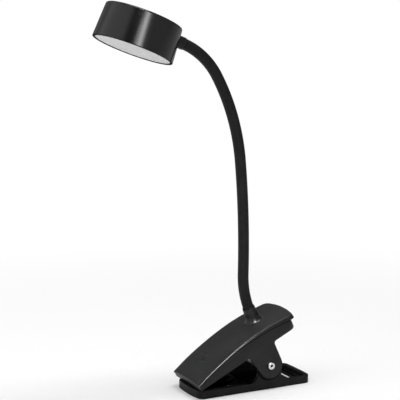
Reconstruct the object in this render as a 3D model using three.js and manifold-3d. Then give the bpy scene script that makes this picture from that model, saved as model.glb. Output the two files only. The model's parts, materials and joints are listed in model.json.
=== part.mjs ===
// Clip-on reading lamp: a sprung clamp, a bendable neck and a round head. Millimetres, +Z up.
// The origin is on the resting plane under the middle of the lower jaw. The clamp's nose points to -X,
// its handles to +X, and Y runs across its width.

import * as THREE from 'three';
import { mergeVertices } from 'three/addons/utils/BufferGeometryUtils.js';
import ManifoldModule from 'manifold-3d';

// ---------- driving dimensions ----------

// Clearances
const GAP = 0.3; // between pieces that touch on the real lamp
const RUNNING = 0.1; // radial, between the pivot pin and its holes
const FACET_ERROR = 0.09; // how far a facet may lie inside its true curve

// Lower jaw
const JAW_LENGTH = 112;
const JAW_WIDTH = 44;
const JAW_CORNER = 4.7;
const JAW_NOSE_BOW = 2.2; // how far the middle of the nose stands ahead of its corners
const JAW_TAIL_BOW = 0.6;
const RAIL_HEIGHT = 7;
const RAIL_WIDTH = 2;
const END_RAIL_WIDTH = 4.4; // the rail across the tail
const TRAY_FLOOR = 2;
const CHEEK_THICKNESS = 3.2;
const CHEEK_RADIUS = 11.1;
const CHEEK_FOOT = 8;
const RIB_COUNT = 5;
const RIB_PITCH = 7.5;
const RIB_WIDTH = 1.4;
const RIB_HEIGHT = 4; // above the tray's floor
const RIB_LENGTH = 39.5;
const DECK_HEIGHT = 4.4; // top of the slotted deck at the tail
const DECK_THICKNESS = 1.4;
const DECK_FRONT_X = 35;
const SLOT_COUNT = 2;
const SLOT_WIDTH = 4.2;
const SLOT_BAR = 2.6;
const SLOT_INSET = 1.2; // from the side rails
const LOWER_PAD_LENGTH = 8;
const LOWER_PAD_HEIGHT = 4.9;

// Pivot and spring
const PIVOT_X = 13.8;
const PIVOT_HEIGHT = 21.4;
const PIN_RADIUS = 2;
const PIN_HEAD_RADIUS = 3.2;
const PIN_HEAD_HEIGHT = 1;
const PIN_HOLLOW_RADIUS = 1.1;
const PIN_HOLLOW_DEPTH = 2.4;
const WIRE_RADIUS = 0.9;
const COIL_RADIUS = 6.6;
const COIL_TURNS = 5;
const LOWER_LEG_X = 32;
const UPPER_LEG_FROM_TAIL = 17;

// Upper jaw, in its own frame: x along the belly from the nose, z square to the belly
const BELLY_LENGTH = 105.5;
const PIVOT_FROM_NOSE = 66.7;
const PIVOT_DROP = 18; // from the belly down to the pivot
const NOSE_GAP = 1.5; // between the nose and the lower jaw's rails when closed
const SHELL_WALL = 2.2;
const SHELL_FLOOR = 1.8;
const SEAM_NOSE_HEIGHT = 4.1;
const SEAM_TAIL_HEIGHT = 7.1;
const SEAM_RISE = 6.7;
const EAR_RADIUS = 11.3;
const EAR_ROOT_WIDTH = 26.8;
const EAR_ROOT_SHIFT = 1.7; // the middle of the root lies this far to the nose's side of the pivot
const EAR_ROOT_FILLET = 2.5;
const TAIL_BOW = 3.3;
const TAIL_CORNER = 5;

// Cover
const COVER_WALL = 1.8;
const COVER_LIP = 0.6; // the cover stands this far ahead of the shell's nose
const COVER_TAIL_OVERHANG = 3.5;
const COVER_NOSE_HEIGHT = 5.8;
const COVER_TAIL_HEIGHT = 10.8;
const COVER_RISE = 6.5;
const COVER_DOME = 1.6;
const COVER_EDGE = 2.5;
const COVER_SIDE_AT_NOSE = 0.5; // overhang past the shell's sides
const COVER_SIDE_AT_TAIL = 0.2;
const DIMPLE_FROM_NOSE = 22;
const DIMPLE_DEPTH = 1;
const DIMPLE_RADIUS = 5.2;

// Neck boss, end fittings and nuts
const BOSS_FROM_NOSE = 78.4;
const BOSS_HEIGHT = 11.4;
const BOSS_TOP_RADIUS = 5.9;
const BOSS_BASE_RADIUS = 9.8;
const BOSS_FLARE_STRETCH = 1.6; // the flare's height over its width
const BOSS_TOP_EDGE = 0.4;
const BOSS_SEAT_DEPTH = 6;
const NUT_SEAT = 2.6; // from the cover's top down to the flat that the lower washer bears on
const SHANK_RADIUS = 3.6;
const NUT_RADIUS = 6.5;
const NUT_THICKNESS = 3;
const WASHER_THICKNESS = 0.8;
const FITTING_RADIUS = 5.3;
const FITTING_SEEN = 8;
const FITTING_SEAT = 1.5;
const SOCKET_DEPTH = 2;

// Neck: its centreline is four arcs from the boss up, and a positive turn leans it to the nose
const ROOT_LENGTH = 33;
const ROOT_TURN = -23.9;
const STEM_LENGTH = 99.2;
const STEM_TURN = 6.7;
const SHOULDER_LENGTH = 77;
const SHOULDER_TURN = 24.2;
const HOOK_LENGTH = 42.1;
const HOOK_TURN = 38.6;
const SLEEVE_RADIUS = 4.8;
const SLEEVE_WALL = 1.1;
const CORE_RADIUS = 3.3;
const CORE_BORE = 1.8;
const BEND_COUNT = 10; // joints along the neck
const END_LENGTH = 12; // from each end of the bending part to its nearest joint
const NECK_SIDES = 12; // flats of the sleeve and the core, which line up
const LEAD_RADIUS = 1.2;
const LEAD_BEND = 5;

// Head
const HEAD_RADIUS = 34.6;
const HEAD_HEIGHT = 29.8;
const HEAD_DRAFT = 3.2;
const HEAD_WALL = 1.8;
const HEAD_TOP_EDGE = 2;
const HEAD_NECK_HEIGHT = 21.5;
const HEAD_BOSS_RADIUS = 8;
const HEAD_BOSS_DEPTH = 5;
const DIFFUSER_THICKNESS = 2.2;
const DIFFUSER_INSET = 0.6;
const DIFFUSER_LEDGE = 0.9;
const BOARD_RADIUS = 28;
const BOARD_THICKNESS = 1.6;
const BOARD_HEIGHT = 10;
const BOARD_SCREW_COUNT = 3;
const BOARD_SCREW_CIRCLE = 22;
const CHIP_SIZE = 3;
const CHIP_HEIGHT = 0.7;
const OUTER_CHIP_COUNT = 12;
const OUTER_CHIP_CIRCLE = 17;
const INNER_CHIP_COUNT = 6;
const INNER_CHIP_CIRCLE = 8.5;

// Screws of the cover and of the board
const SCREW_RADIUS = 1.2;
const SCREW_HEAD_RADIUS = 2.4;
const SCREW_HEAD_HEIGHT = 0.7;
const SCREW_BITE = 4.5;
const POST_RADIUS = 3;
const FRONT_SCREW_X = 18;
const FRONT_SCREW_INSET = 8; // from the shell's side
const REAR_SCREW_X = 88;
const REAR_SCREW_INSET = 6.5;

// Upper pad and the parts inside the upper jaw
const UPPER_PAD_START = 1.5;
const UPPER_PAD_LENGTH = 11.5;
const UPPER_PAD_PROUD = 0.9;
const PAD_RECESS = 0.8;
const PAD_HALF_WIDTH = 16;
const PAD_GROOVE = 0.5;
const PAD_GROOVE_PITCH = 2.6;
const CELL_START = 27;
const CELL_LENGTH = 36;
const CELL_WIDTH = 32;
const CELL_HEIGHT = 6.5;
const FOAM_THICKNESS = 0.8;
const FOAM_INSET = 3; // from the cell's edges
const CONTROL_START = 65.5;
const CONTROL_WIDTH = 24;
const CONTROL_THICKNESS = 1;
const CONTROL_PARTS = [
  { fromX: 4, length: 5, fromY: -2.5, width: 5, height: 1 },
  { fromX: 3, length: 5, fromY: 5, width: 5, height: 2.2 },
  { fromX: 20, length: 3, fromY: -10, width: 4, height: 1.4 },
];
const INLET_WIDTH = 8.9;
const INLET_HEIGHT = 3.2;
const INLET_LENGTH = 7;
const INLET_SHELL = 0.35;
const TONGUE_WIDTH = 6.4;
const TONGUE_THICKNESS = 0.7;
const TOUCH_RADIUS = 6;
const TOUCH_THICKNESS = 0.4;

// ---------- derived sizes ----------

const JAW_HALF = JAW_WIDTH / 2;
const SHELL_HALF = JAW_HALF + GAP + SHELL_WALL;
const NOSE_X = -JAW_LENGTH / 2;
const TAIL_X = JAW_LENGTH / 2;
const PIVOT_REACH = Math.hypot(PIVOT_FROM_NOSE, PIVOT_DROP);
const NOSE_FALL = PIVOT_HEIGHT - RAIL_HEIGHT - NOSE_GAP;
const CLOSED_ANGLE = Math.asin(NOSE_FALL / PIVOT_REACH) + Math.atan2(PIVOT_DROP, PIVOT_FROM_NOSE);
const SEAM = bow(0, SEAM_NOSE_HEIGHT, BELLY_LENGTH, SEAM_TAIL_HEIGHT, SEAM_RISE);
const COVER_END = BELLY_LENGTH + COVER_TAIL_OVERHANG;
const CROWN = bow(-COVER_LIP, COVER_NOSE_HEIGHT, COVER_END, COVER_TAIL_HEIGHT, COVER_RISE);
const SEAT_Z = -BOSS_SEAT_DEPTH;
const FITTING_COLLAR = BOSS_SEAT_DEPTH / 2;
const NECK_BENDS = [
  { length: ROOT_LENGTH, turn: ROOT_TURN },
  { length: STEM_LENGTH, turn: STEM_TURN },
  { length: SHOULDER_LENGTH, turn: SHOULDER_TURN },
  { length: HOOK_LENGTH, turn: HOOK_TURN },
];
const NECK_LENGTH = NECK_BENDS.reduce((sum, bend) => sum + bend.length, 0) + FITTING_SEEN;
const SLEEVE_END = NECK_LENGTH - FITTING_SEEN;
const JOINT_PITCH = (SLEEVE_END - 2 * END_LENGTH) / (BEND_COUNT - 1);
const HEAD_SLOPE = Math.tan(THREE.MathUtils.degToRad(HEAD_DRAFT));
const HEAD_WALL_AT_NECK = HEAD_RADIUS - HEAD_SLOPE * HEAD_NECK_HEIGHT;
const HEAD_BOSS_FACE = HEAD_WALL_AT_NECK - HEAD_BOSS_DEPTH;
const HEAD_NUT_END = HEAD_BOSS_FACE - 3 * GAP - WASHER_THICKNESS - NUT_THICKNESS;
const HEAD_LEAD_X = HEAD_NUT_END - LEAD_BEND;

// ---------- arcs and outlines ----------

function facetAngle(radius) {
  return 2 * Math.acos(1 - Math.min(FACET_ERROR / radius, 0.2));
}

function sidesFor(radius) {
  return 2 * Math.ceil(Math.PI / facetAngle(radius));
}

// The same outline with each arc drawn as no more facets than it needs.
function faceted(path) {
  const points = path.curves.flatMap((curve) => {
    if (curve.isLineCurve) {
      return [curve.v1];
    }
    const turn = curve.isEllipseCurve ? Math.abs(curve.aEndAngle - curve.aStartAngle) : 0;
    const steps = curve.isEllipseCurve ? Math.ceil(turn / facetAngle(curve.xRadius)) : 4;
    return curve.getPoints(steps).slice(0, -1);
  });
  const shape = new THREE.Shape(points);
  shape.holes = (path.holes ?? []).map(faceted);
  return shape;
}

// The circular arc from (x0, z0) to (x1, z1) that rises `rise` above the middle of its chord.
function bow(x0, z0, x1, z1, rise) {
  const chord = Math.hypot(x1 - x0, z1 - z0);
  const radius = (chord * chord / 4 + rise * rise) / (2 * rise);
  const depth = radius - rise;
  const centreX = (x0 + x1) / 2 + depth * (z1 - z0) / chord;
  const centreZ = (z0 + z1) / 2 - depth * (x1 - x0) / chord;
  return { x0, z0, x1, z1, radius, centreX, centreZ };
}

function bowHeight(arc, x) {
  return arc.centreZ + Math.sqrt(arc.radius ** 2 - (x - arc.centreX) ** 2);
}

function bowSlope(arc, x) {
  return -Math.asin((x - arc.centreX) / arc.radius);
}

function roundedRectangle(fromX, toX, halfWidth, radius) {
  const shape = new THREE.Shape();
  shape.absarc(toX - radius, -halfWidth + radius, radius, -Math.PI / 2, 0);
  shape.absarc(toX - radius, halfWidth - radius, radius, 0, Math.PI / 2);
  shape.absarc(fromX + radius, halfWidth - radius, radius, Math.PI / 2, Math.PI);
  shape.absarc(fromX + radius, -halfWidth + radius, radius, Math.PI, 1.5 * Math.PI);
  shape.closePath();
  return shape;
}

function ring(outer, inner) {
  const shape = new THREE.Shape().absarc(0, 0, outer, 0, 2 * Math.PI);
  shape.holes.push(new THREE.Path().absarc(0, 0, inner, 0, 2 * Math.PI));
  return shape;
}

// How far a bowed, round-cornered end lies behind its middle, at y on a plan of the given half width.
function endSetback(y, halfWidth, { corner, bulge }) {
  const intoCorner = Math.max(0, Math.abs(y) - (halfWidth - corner));
  const cornerSetback = corner - Math.sqrt(Math.max(0, corner ** 2 - intoCorner ** 2));
  return bulge * (y / halfWidth) ** 2 + cornerSetback;
}

// A plan with straight sides, whose nose and tail each have their own x, corner and bulge.
function bowedPlan(nose, tail, halfWidth) {
  const points = [];
  for (const [end, side] of [[tail, 1], [nose, -1]]) {
    const steps = end.corner + end.bulge > 0 ? 16 : 1;
    for (let i = 0; i <= steps; i += 1) {
      const y = -halfWidth * Math.cos(Math.PI * i / steps);
      points.push(new THREE.Vector2(end.x - side * endSetback(y, halfWidth, end), side * y));
    }
  }
  const shape = new THREE.Shape(points);
  shape.closePath();
  return shape;
}

// ---------- solids ----------

const wasm = await ManifoldModule();
wasm.setup();

function solidFrom(geometry) {
  const bare = geometry.clone();
  bare.deleteAttribute('normal');
  bare.deleteAttribute('uv');
  const merged = mergeVertices(bare, 1e-4);
  const mesh = new wasm.Mesh({
    numProp: 3,
    vertProperties: Float32Array.from(merged.attributes.position.array),
    triVerts: Uint32Array.from(merged.index.array),
  });
  return new wasm.Manifold(mesh);
}

function geometryFrom(solid) {
  const mesh = solid.getMesh();
  const geometry = new THREE.BufferGeometry();
  geometry.setAttribute('position', new THREE.BufferAttribute(Float32Array.from(mesh.vertProperties), 3));
  geometry.setIndex(new THREE.BufferAttribute(Uint32Array.from(mesh.triVerts), 1));
  geometry.computeVertexNormals();
  return geometry;
}

function joined(solids) {
  return solids.reduce((sum, next) => sum.add(next));
}

function without(solid, tools) {
  return tools.reduce((rest, tool) => rest.subtract(tool), solid);
}

// A plan outline (x, y) raised from one height to another.
function flatPrism(shape, fromZ, toZ) {
  const geometry = new THREE.ExtrudeGeometry(faceted(shape), { depth: toZ - fromZ, bevelEnabled: false });
  return solidFrom(geometry.translate(0, 0, fromZ));
}

// A side outline (x, z) carried across from one y to another.
function sidePrism(shape, fromY, toY) {
  const geometry = new THREE.ExtrudeGeometry(faceted(shape), { depth: toY - fromY, bevelEnabled: false });
  return solidFrom(geometry.rotateX(Math.PI / 2).translate(0, toY, 0));
}

function block(fromX, toX, fromY, toY, fromZ, toZ) {
  const geometry = new THREE.BoxGeometry(toX - fromX, toY - fromY, toZ - fromZ);
  geometry.translate((fromX + toX) / 2, (fromY + toY) / 2, (fromZ + toZ) / 2);
  return solidFrom(geometry);
}

function post(x, y, radius, fromZ, toZ) {
  const geometry = new THREE.CylinderGeometry(radius, radius, toZ - fromZ, sidesFor(radius));
  return solidFrom(geometry.rotateX(Math.PI / 2).translate(x, y, (fromZ + toZ) / 2));
}

function axle(x, z, radius, fromY, toY) {
  const geometry = new THREE.CylinderGeometry(radius, radius, toY - fromY, sidesFor(radius));
  return solidFrom(geometry.translate(x, (fromY + toY) / 2, z));
}

// A profile of [radius, height] points turned about the z axis.
function turned(profile, sides = sidesFor(Math.max(...profile.map(([radius]) => radius)))) {
  const points = profile.map(([radius, height]) => new THREE.Vector2(radius, height));
  return new THREE.LatheGeometry(points, sides).rotateX(Math.PI / 2);
}

function closed(profile) {
  return [...profile, profile[0]];
}

// Points of a quarter-like arc in a turned profile, from one angle to another.
function arcPoints(centreR, centreZ, radius, fromAngle, toAngle, steps) {
  const points = [];
  for (let i = 0; i <= steps; i += 1) {
    const angle = THREE.MathUtils.degToRad(fromAngle + (toAngle - fromAngle) * i / steps);
    points.push([centreR + radius * Math.cos(angle), centreZ + radius * Math.sin(angle)]);
  }
  return points;
}

function piece(name, shape, finish) {
  const geometry = shape.isBufferGeometry ? shape : geometryFrom(shape);
  const mesh = new THREE.Mesh(geometry, new THREE.MeshStandardMaterial(finish));
  mesh.name = name;
  return mesh;
}

// ---------- finishes ----------

const SATIN_BLACK = { color: 0x242426, roughness: 0.45, metalness: 0 };
const HEAD_BLACK = { color: 0x1d1d1f, roughness: 0.32, metalness: 0 };
const SLEEVE_BLACK = { color: 0x171718, roughness: 0.7, metalness: 0 };
const PAD_RUBBER = { color: 0x141414, roughness: 0.85, metalness: 0 };
const BRIGHT_STEEL = { color: 0xc9c9c6, roughness: 0.25, metalness: 1 };
const SPRING_STEEL = { color: 0xa9a9a6, roughness: 0.35, metalness: 1 };
const BOARD_GREEN = { color: 0x1d5a36, roughness: 0.6, metalness: 0 };
const BOARD_WHITE = { color: 0xe9e9e4, roughness: 0.5, metalness: 0.2 };
const CELL_FOIL = { color: 0xb4b8bd, roughness: 0.4, metalness: 0.6 };
const FOAM_GREY = { color: 0x55575a, roughness: 0.95, metalness: 0 };
const COPPER = { color: 0xb7794a, roughness: 0.4, metalness: 1 };
const OPAL = { color: 0xf1f1ee, roughness: 0.5, metalness: 0 };
const LEAD_BLACK = { color: 0x202020, roughness: 0.6, metalness: 0 };

// ---------- lower jaw ----------

// Side outline of a cheek: a round lobe about the pivot on a foot that flares into the rail.
function cheekOutline() {
  const front = PIVOT_X - CHEEK_RADIUS;
  const rear = PIVOT_X + CHEEK_RADIUS;
  const footTop = RAIL_HEIGHT + CHEEK_FOOT;
  const shape = new THREE.Shape();
  shape.moveTo(front - CHEEK_FOOT, TRAY_FLOOR / 2);
  shape.lineTo(rear + CHEEK_FOOT, TRAY_FLOOR / 2);
  shape.absarc(rear + CHEEK_FOOT, footTop, CHEEK_FOOT, 1.5 * Math.PI, Math.PI, true);
  shape.absarc(PIVOT_X, PIVOT_HEIGHT, CHEEK_RADIUS, 0, Math.PI, false);
  shape.absarc(front - CHEEK_FOOT, footTop, CHEEK_FOOT, 0, -Math.PI / 2, true);
  shape.closePath();
  return shape;
}

// The tray's outline, moved in from its sides and nose by `inset`, and from its tail by `tailInset`.
function trayPlan(inset, tailInset) {
  const corner = JAW_CORNER - inset;
  return bowedPlan(
    { x: NOSE_X + inset, corner, bulge: JAW_NOSE_BOW },
    { x: TAIL_X - tailInset, corner, bulge: JAW_TAIL_BOW },
    JAW_HALF - inset,
  );
}

// A floor between rails. At the tail it steps up to a thin slotted deck that is open underneath.
function tray() {
  const hollow = trayPlan(RAIL_WIDTH, END_RAIL_WIDTH);
  const tailPart = (fromX) => block(fromX, TAIL_X, -JAW_WIDTH, JAW_WIDTH, -JAW_WIDTH, JAW_WIDTH);
  const deckBody = flatPrism(trayPlan(RAIL_WIDTH / 2, END_RAIL_WIDTH / 2), 0, DECK_HEIGHT);
  const under = flatPrism(hollow, -GAP, DECK_HEIGHT - DECK_THICKNESS);
  return flatPrism(trayPlan(0, 0), 0, RAIL_HEIGHT)
    .subtract(flatPrism(hollow, TRAY_FLOOR, RAIL_HEIGHT + GAP))
    .add(deckBody.intersect(tailPart(DECK_FRONT_X)))
    .subtract(under.intersect(tailPart(DECK_FRONT_X + DECK_THICKNESS)));
}

function tailSlots() {
  const slots = [];
  const halfWidth = JAW_HALF - RAIL_WIDTH - SLOT_INSET;
  for (let i = 0; i < SLOT_COUNT; i += 1) {
    const toX = TAIL_X - END_RAIL_WIDTH - SLOT_BAR - i * (SLOT_WIDTH + SLOT_BAR);
    const outline = roundedRectangle(toX - SLOT_WIDTH, toX, halfWidth, SLOT_WIDTH / 4);
    slots.push(flatPrism(outline, 0, DECK_HEIGHT + GAP));
  }
  return slots;
}

// Lengthwise ribs of the mouth between two cross ribs, behind the grip pad.
function mouthRibs() {
  const startX = NOSE_X + RAIL_WIDTH + GAP + LOWER_PAD_LENGTH + GAP;
  const endX = startX + RIB_LENGTH;
  const foot = TRAY_FLOOR / 2;
  const top = TRAY_FLOOR + RIB_HEIGHT;
  const across = JAW_HALF - RAIL_WIDTH / 2;
  const ribs = [
    block(startX, startX + RIB_WIDTH, -across, across, foot, top),
    block(endX - RIB_WIDTH, endX, -across, across, foot, top),
  ];
  for (let i = 0; i < RIB_COUNT; i += 1) {
    const y = (i - (RIB_COUNT - 1) / 2) * RIB_PITCH;
    ribs.push(block(startX, endX, y - RIB_WIDTH / 2, y + RIB_WIDTH / 2, foot, top));
  }
  return ribs;
}

function lowerJaw() {
  const outer = JAW_HALF;
  const inner = JAW_HALF - CHEEK_THICKNESS;
  const body = joined([
    tray(),
    sidePrism(cheekOutline(), inner, outer),
    sidePrism(cheekOutline(), -outer, -inner),
    ...mouthRibs(),
  ]);
  const pinHole = axle(PIVOT_X, PIVOT_HEIGHT, PIN_RADIUS + RUNNING, -JAW_WIDTH, JAW_WIDTH);
  return without(body, [...tailSlots(), pinHole]);
}

// Cross grooves cut into a pad's working face, which is at height z.
function padGrooves(fromX, toX, z) {
  const grooves = [];
  const count = Math.floor((toX - fromX) / PAD_GROOVE_PITCH);
  const margin = (toX - fromX - (count - 1) * PAD_GROOVE_PITCH) / 2;
  for (let i = 0; i < count; i += 1) {
    const x = fromX + margin + i * PAD_GROOVE_PITCH;
    const half = PAD_GROOVE_PITCH / 4;
    grooves.push(block(x - half, x + half, -JAW_WIDTH, JAW_WIDTH, z - PAD_GROOVE, z + PAD_GROOVE));
  }
  return grooves;
}

function lowerPad() {
  const fromX = NOSE_X + RAIL_WIDTH + GAP;
  const toX = fromX + LOWER_PAD_LENGTH;
  const bottom = TRAY_FLOOR + GAP;
  const outline = bowedPlan(
    { x: fromX, corner: JAW_CORNER - RAIL_WIDTH, bulge: JAW_NOSE_BOW },
    { x: toX, corner: 0, bulge: 0 },
    JAW_HALF - RAIL_WIDTH - GAP,
  );
  const body = flatPrism(outline, bottom, bottom + LOWER_PAD_HEIGHT);
  return without(body, padGrooves(fromX, toX, bottom + LOWER_PAD_HEIGHT));
}

// ---------- pivot pin and torsion spring ----------

function pivotPin() {
  const face = SHELL_HALF + GAP;
  const end = face + PIN_HEAD_HEIGHT;
  const bevel = PIN_HEAD_HEIGHT / 3;
  const profile = [
    [0, -end + PIN_HOLLOW_DEPTH],
    [PIN_HOLLOW_RADIUS, -end + PIN_HOLLOW_DEPTH],
    [PIN_HOLLOW_RADIUS, -end],
    [PIN_HEAD_RADIUS - bevel, -end],
    [PIN_HEAD_RADIUS, -end + bevel],
    [PIN_HEAD_RADIUS, -face],
    [PIN_RADIUS, -face],
    [PIN_RADIUS, face],
    [PIN_HEAD_RADIUS, face],
    [PIN_HEAD_RADIUS, end - bevel],
    [PIN_HEAD_RADIUS - bevel, end],
    [0, end],
  ];
  const points = profile.map(([radius, y]) => new THREE.Vector2(radius, y));
  const geometry = new THREE.LatheGeometry(points, sidesFor(PIN_HEAD_RADIUS));
  return solidFrom(geometry.translate(PIVOT_X, 0, PIVOT_HEIGHT));
}

// From the upper jaw's own frame to the lamp's frame, in the plane of the side view.
function fromJawFrame(x, z) {
  const alongX = x - PIVOT_FROM_NOSE;
  const aboveZ = z + PIVOT_DROP;
  return new THREE.Vector2(
    PIVOT_X + alongX * Math.cos(CLOSED_ANGLE) - aboveZ * Math.sin(CLOSED_ANGLE),
    PIVOT_HEIGHT + alongX * Math.sin(CLOSED_ANGLE) + aboveZ * Math.cos(CLOSED_ANGLE),
  );
}

// The spring's wire: a leg on the tray floor, close turns round the pin, and a leg under the belly.
class SpringPath extends THREE.Curve {
  constructor() {
    super();
    const pivot = new THREE.Vector2(PIVOT_X, PIVOT_HEIGHT);
    this.pivot = pivot;
    this.lowerEnd = new THREE.Vector2(LOWER_LEG_X, TRAY_FLOOR + GAP + WIRE_RADIUS);
    this.upperEnd = fromJawFrame(BELLY_LENGTH - UPPER_LEG_FROM_TAIL, -GAP - WIRE_RADIUS);
    const lower = this.lowerEnd.clone().sub(pivot);
    const upper = this.upperEnd.clone().sub(pivot);
    this.startAngle = lower.angle() - Math.acos(COIL_RADIUS / lower.length());
    const endAngle = upper.angle() + Math.acos(COIL_RADIUS / upper.length());
    const partTurn = THREE.MathUtils.euclideanModulo(this.startAngle - endAngle, 2 * Math.PI);
    this.sweep = COIL_TURNS * 2 * Math.PI + partTurn;
    this.halfWidth = this.sweep / (2 * Math.PI) * (2 * WIRE_RADIUS + GAP) / 2;
    this.lowerLeg = Math.sqrt(lower.lengthSq() - COIL_RADIUS ** 2);
    this.upperLeg = Math.sqrt(upper.lengthSq() - COIL_RADIUS ** 2);
    this.coil = this.sweep * COIL_RADIUS;
    this.total = this.lowerLeg + this.coil + this.upperLeg;
  }

  onCoil(angle, y) {
    return new THREE.Vector3(
      this.pivot.x + COIL_RADIUS * Math.cos(angle),
      y,
      this.pivot.y + COIL_RADIUS * Math.sin(angle),
    );
  }

  getPoint(t, target = new THREE.Vector3()) {
    const s = t * this.total;
    const turnedBy = THREE.MathUtils.clamp((s - this.lowerLeg) / this.coil, 0, 1);
    const y = this.halfWidth * (2 * turnedBy - 1);
    const point = this.onCoil(this.startAngle - this.sweep * turnedBy, y);
    if (s < this.lowerLeg) {
      point.lerp(new THREE.Vector3(this.lowerEnd.x, y, this.lowerEnd.y), 1 - s / this.lowerLeg);
    } else if (s > this.total - this.upperLeg) {
      const share = (s - this.total + this.upperLeg) / this.upperLeg;
      point.lerp(new THREE.Vector3(this.upperEnd.x, y, this.upperEnd.y), share);
    }
    return target.copy(point);
  }
}

function torsionSpring() {
  const wire = new THREE.Shape().absarc(0, 0, WIRE_RADIUS, 0, 2 * Math.PI);
  const path = new SpringPath();
  const steps = Math.round(path.total / 3);
  const options = { steps, extrudePath: path, curveSegments: 3, bevelEnabled: false };
  return solidFrom(new THREE.ExtrudeGeometry(wire, options));
}

// ---------- upper jaw: shell, ears and pad ----------

function earOutline() {
  const half = EAR_ROOT_WIDTH / 2;
  const centreX = PIVOT_FROM_NOSE - EAR_ROOT_SHIFT;
  const front = centreX - half;
  const rear = centreX + half;
  const lobeSide = (side) => {
    const rootX = side < 0 ? front : rear;
    const reachX = rootX - PIVOT_FROM_NOSE;
    const reach = Math.hypot(reachX, PIVOT_DROP);
    return Math.atan2(PIVOT_DROP, reachX) - side * Math.acos(EAR_RADIUS / reach);
  };
  const lean = (side, rootX) => {
    const angle = lobeSide(side);
    const touchX = PIVOT_FROM_NOSE + EAR_RADIUS * Math.cos(angle);
    const touchZ = -PIVOT_DROP + EAR_RADIUS * Math.sin(angle);
    return (touchX - rootX) / -touchZ;
  };
  const shape = new THREE.Shape();
  shape.moveTo(front - EAR_ROOT_FILLET, SHELL_FLOOR);
  shape.lineTo(front - EAR_ROOT_FILLET, 0);
  shape.quadraticCurveTo(front, 0, front + EAR_ROOT_FILLET * lean(-1, front), -EAR_ROOT_FILLET);
  const frontAngle = lobeSide(-1);
  const rearAngle = lobeSide(1);
  shape.absarc(PIVOT_FROM_NOSE, -PIVOT_DROP, EAR_RADIUS, frontAngle, rearAngle + 2 * Math.PI, false);
  shape.lineTo(rear + EAR_ROOT_FILLET * lean(1, rear), -EAR_ROOT_FILLET);
  shape.quadraticCurveTo(rear, 0, rear + EAR_ROOT_FILLET, 0);
  shape.lineTo(rear + EAR_ROOT_FILLET, SHELL_FLOOR);
  shape.closePath();
  return shape;
}

// Side outline of the housing: a flat belly, an upright nose and tail, and the arched seam on top.
function shellOutline() {
  const seamTop = bow(0, SEAM_NOSE_HEIGHT - GAP / 2, BELLY_LENGTH, SEAM_TAIL_HEIGHT - GAP / 2, SEAM_RISE);
  const tailAngle = Math.atan2(seamTop.z1 - seamTop.centreZ, seamTop.x1 - seamTop.centreX);
  const noseAngle = Math.atan2(seamTop.z0 - seamTop.centreZ, seamTop.x0 - seamTop.centreX);
  const shape = new THREE.Shape();
  shape.moveTo(0, 0);
  shape.lineTo(BELLY_LENGTH, 0);
  shape.absarc(seamTop.centreX, seamTop.centreZ, seamTop.radius, tailAngle, noseAngle, false);
  shape.closePath();
  return shape;
}

function screwPlaces() {
  const places = [];
  for (const side of [-1, 1]) {
    places.push({ x: FRONT_SCREW_X, y: side * (SHELL_HALF - FRONT_SCREW_INSET) });
    places.push({ x: REAR_SCREW_X, y: side * (SHELL_HALF - REAR_SCREW_INSET) });
  }
  return places;
}

function inletHeight() {
  return SHELL_FLOOR + GAP + INLET_HEIGHT / 2;
}

function inletStart() {
  return BELLY_LENGTH - GAP - INLET_LENGTH;
}

// The inlet's rounded outline, grown all round by `grow` and carried along x.
function inletPrism(grow, fromX, toX) {
  const halfWidth = INLET_WIDTH / 2 + grow;
  const halfHeight = INLET_HEIGHT / 2 + grow;
  const shape = faceted(roundedRectangle(-halfWidth, halfWidth, halfHeight, halfHeight * 0.98));
  const geometry = new THREE.ExtrudeGeometry(shape, { depth: toX - fromX, bevelEnabled: false });
  geometry.rotateX(Math.PI / 2).rotateZ(Math.PI / 2).translate(fromX, 0, inletHeight());
  return solidFrom(geometry);
}

function upperShell() {
  const height = COVER_NOSE_HEIGHT + COVER_RISE + COVER_DOME + COVER_TAIL_HEIGHT;
  const innerHalf = SHELL_HALF - SHELL_WALL;
  const plan = (noseX, inset) => bowedPlan(
    { x: noseX, corner: 0, bulge: 0 },
    { x: BELLY_LENGTH - inset, corner: TAIL_CORNER - inset, bulge: TAIL_BOW },
    SHELL_HALF - inset,
  );
  const outside = flatPrism(plan(-1, 0), -1, height);
  const hollow = flatPrism(plan(SHELL_WALL, SHELL_WALL), SHELL_FLOOR, height);
  const housing = sidePrism(shellOutline(), -SHELL_HALF, SHELL_HALF).intersect(outside).subtract(hollow);
  const ears = [
    sidePrism(earOutline(), innerHalf, SHELL_HALF),
    sidePrism(earOutline(), -SHELL_HALF, -innerHalf),
  ];
  const padEnd = UPPER_PAD_START + UPPER_PAD_LENGTH;
  const recessHalf = PAD_HALF_WIDTH + GAP;
  const cuts = [
    axle(PIVOT_FROM_NOSE, -PIVOT_DROP, PIN_RADIUS + RUNNING, -2 * SHELL_HALF, 2 * SHELL_HALF),
    block(UPPER_PAD_START - GAP, padEnd + GAP, -recessHalf, recessHalf, -1, PAD_RECESS),
  ];
  for (const { x, y } of screwPlaces()) {
    cuts.push(post(x, y, SCREW_RADIUS + GAP, -1, SHELL_FLOOR + 1));
    cuts.push(post(x, y, SCREW_HEAD_RADIUS + GAP, -1, SCREW_HEAD_HEIGHT + GAP));
  }
  cuts.push(inletPrism(GAP, inletStart(), BELLY_LENGTH + 1));
  return without(joined([housing, ...ears]), cuts);
}

function upperPad() {
  const toX = UPPER_PAD_START + UPPER_PAD_LENGTH;
  const outline = roundedRectangle(UPPER_PAD_START, toX, PAD_HALF_WIDTH, PAD_RECESS);
  const body = flatPrism(outline, -UPPER_PAD_PROUD, PAD_RECESS - GAP);
  return without(body, padGrooves(UPPER_PAD_START, toX, -UPPER_PAD_PROUD));
}

// ---------- upper jaw: cover ----------

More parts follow.
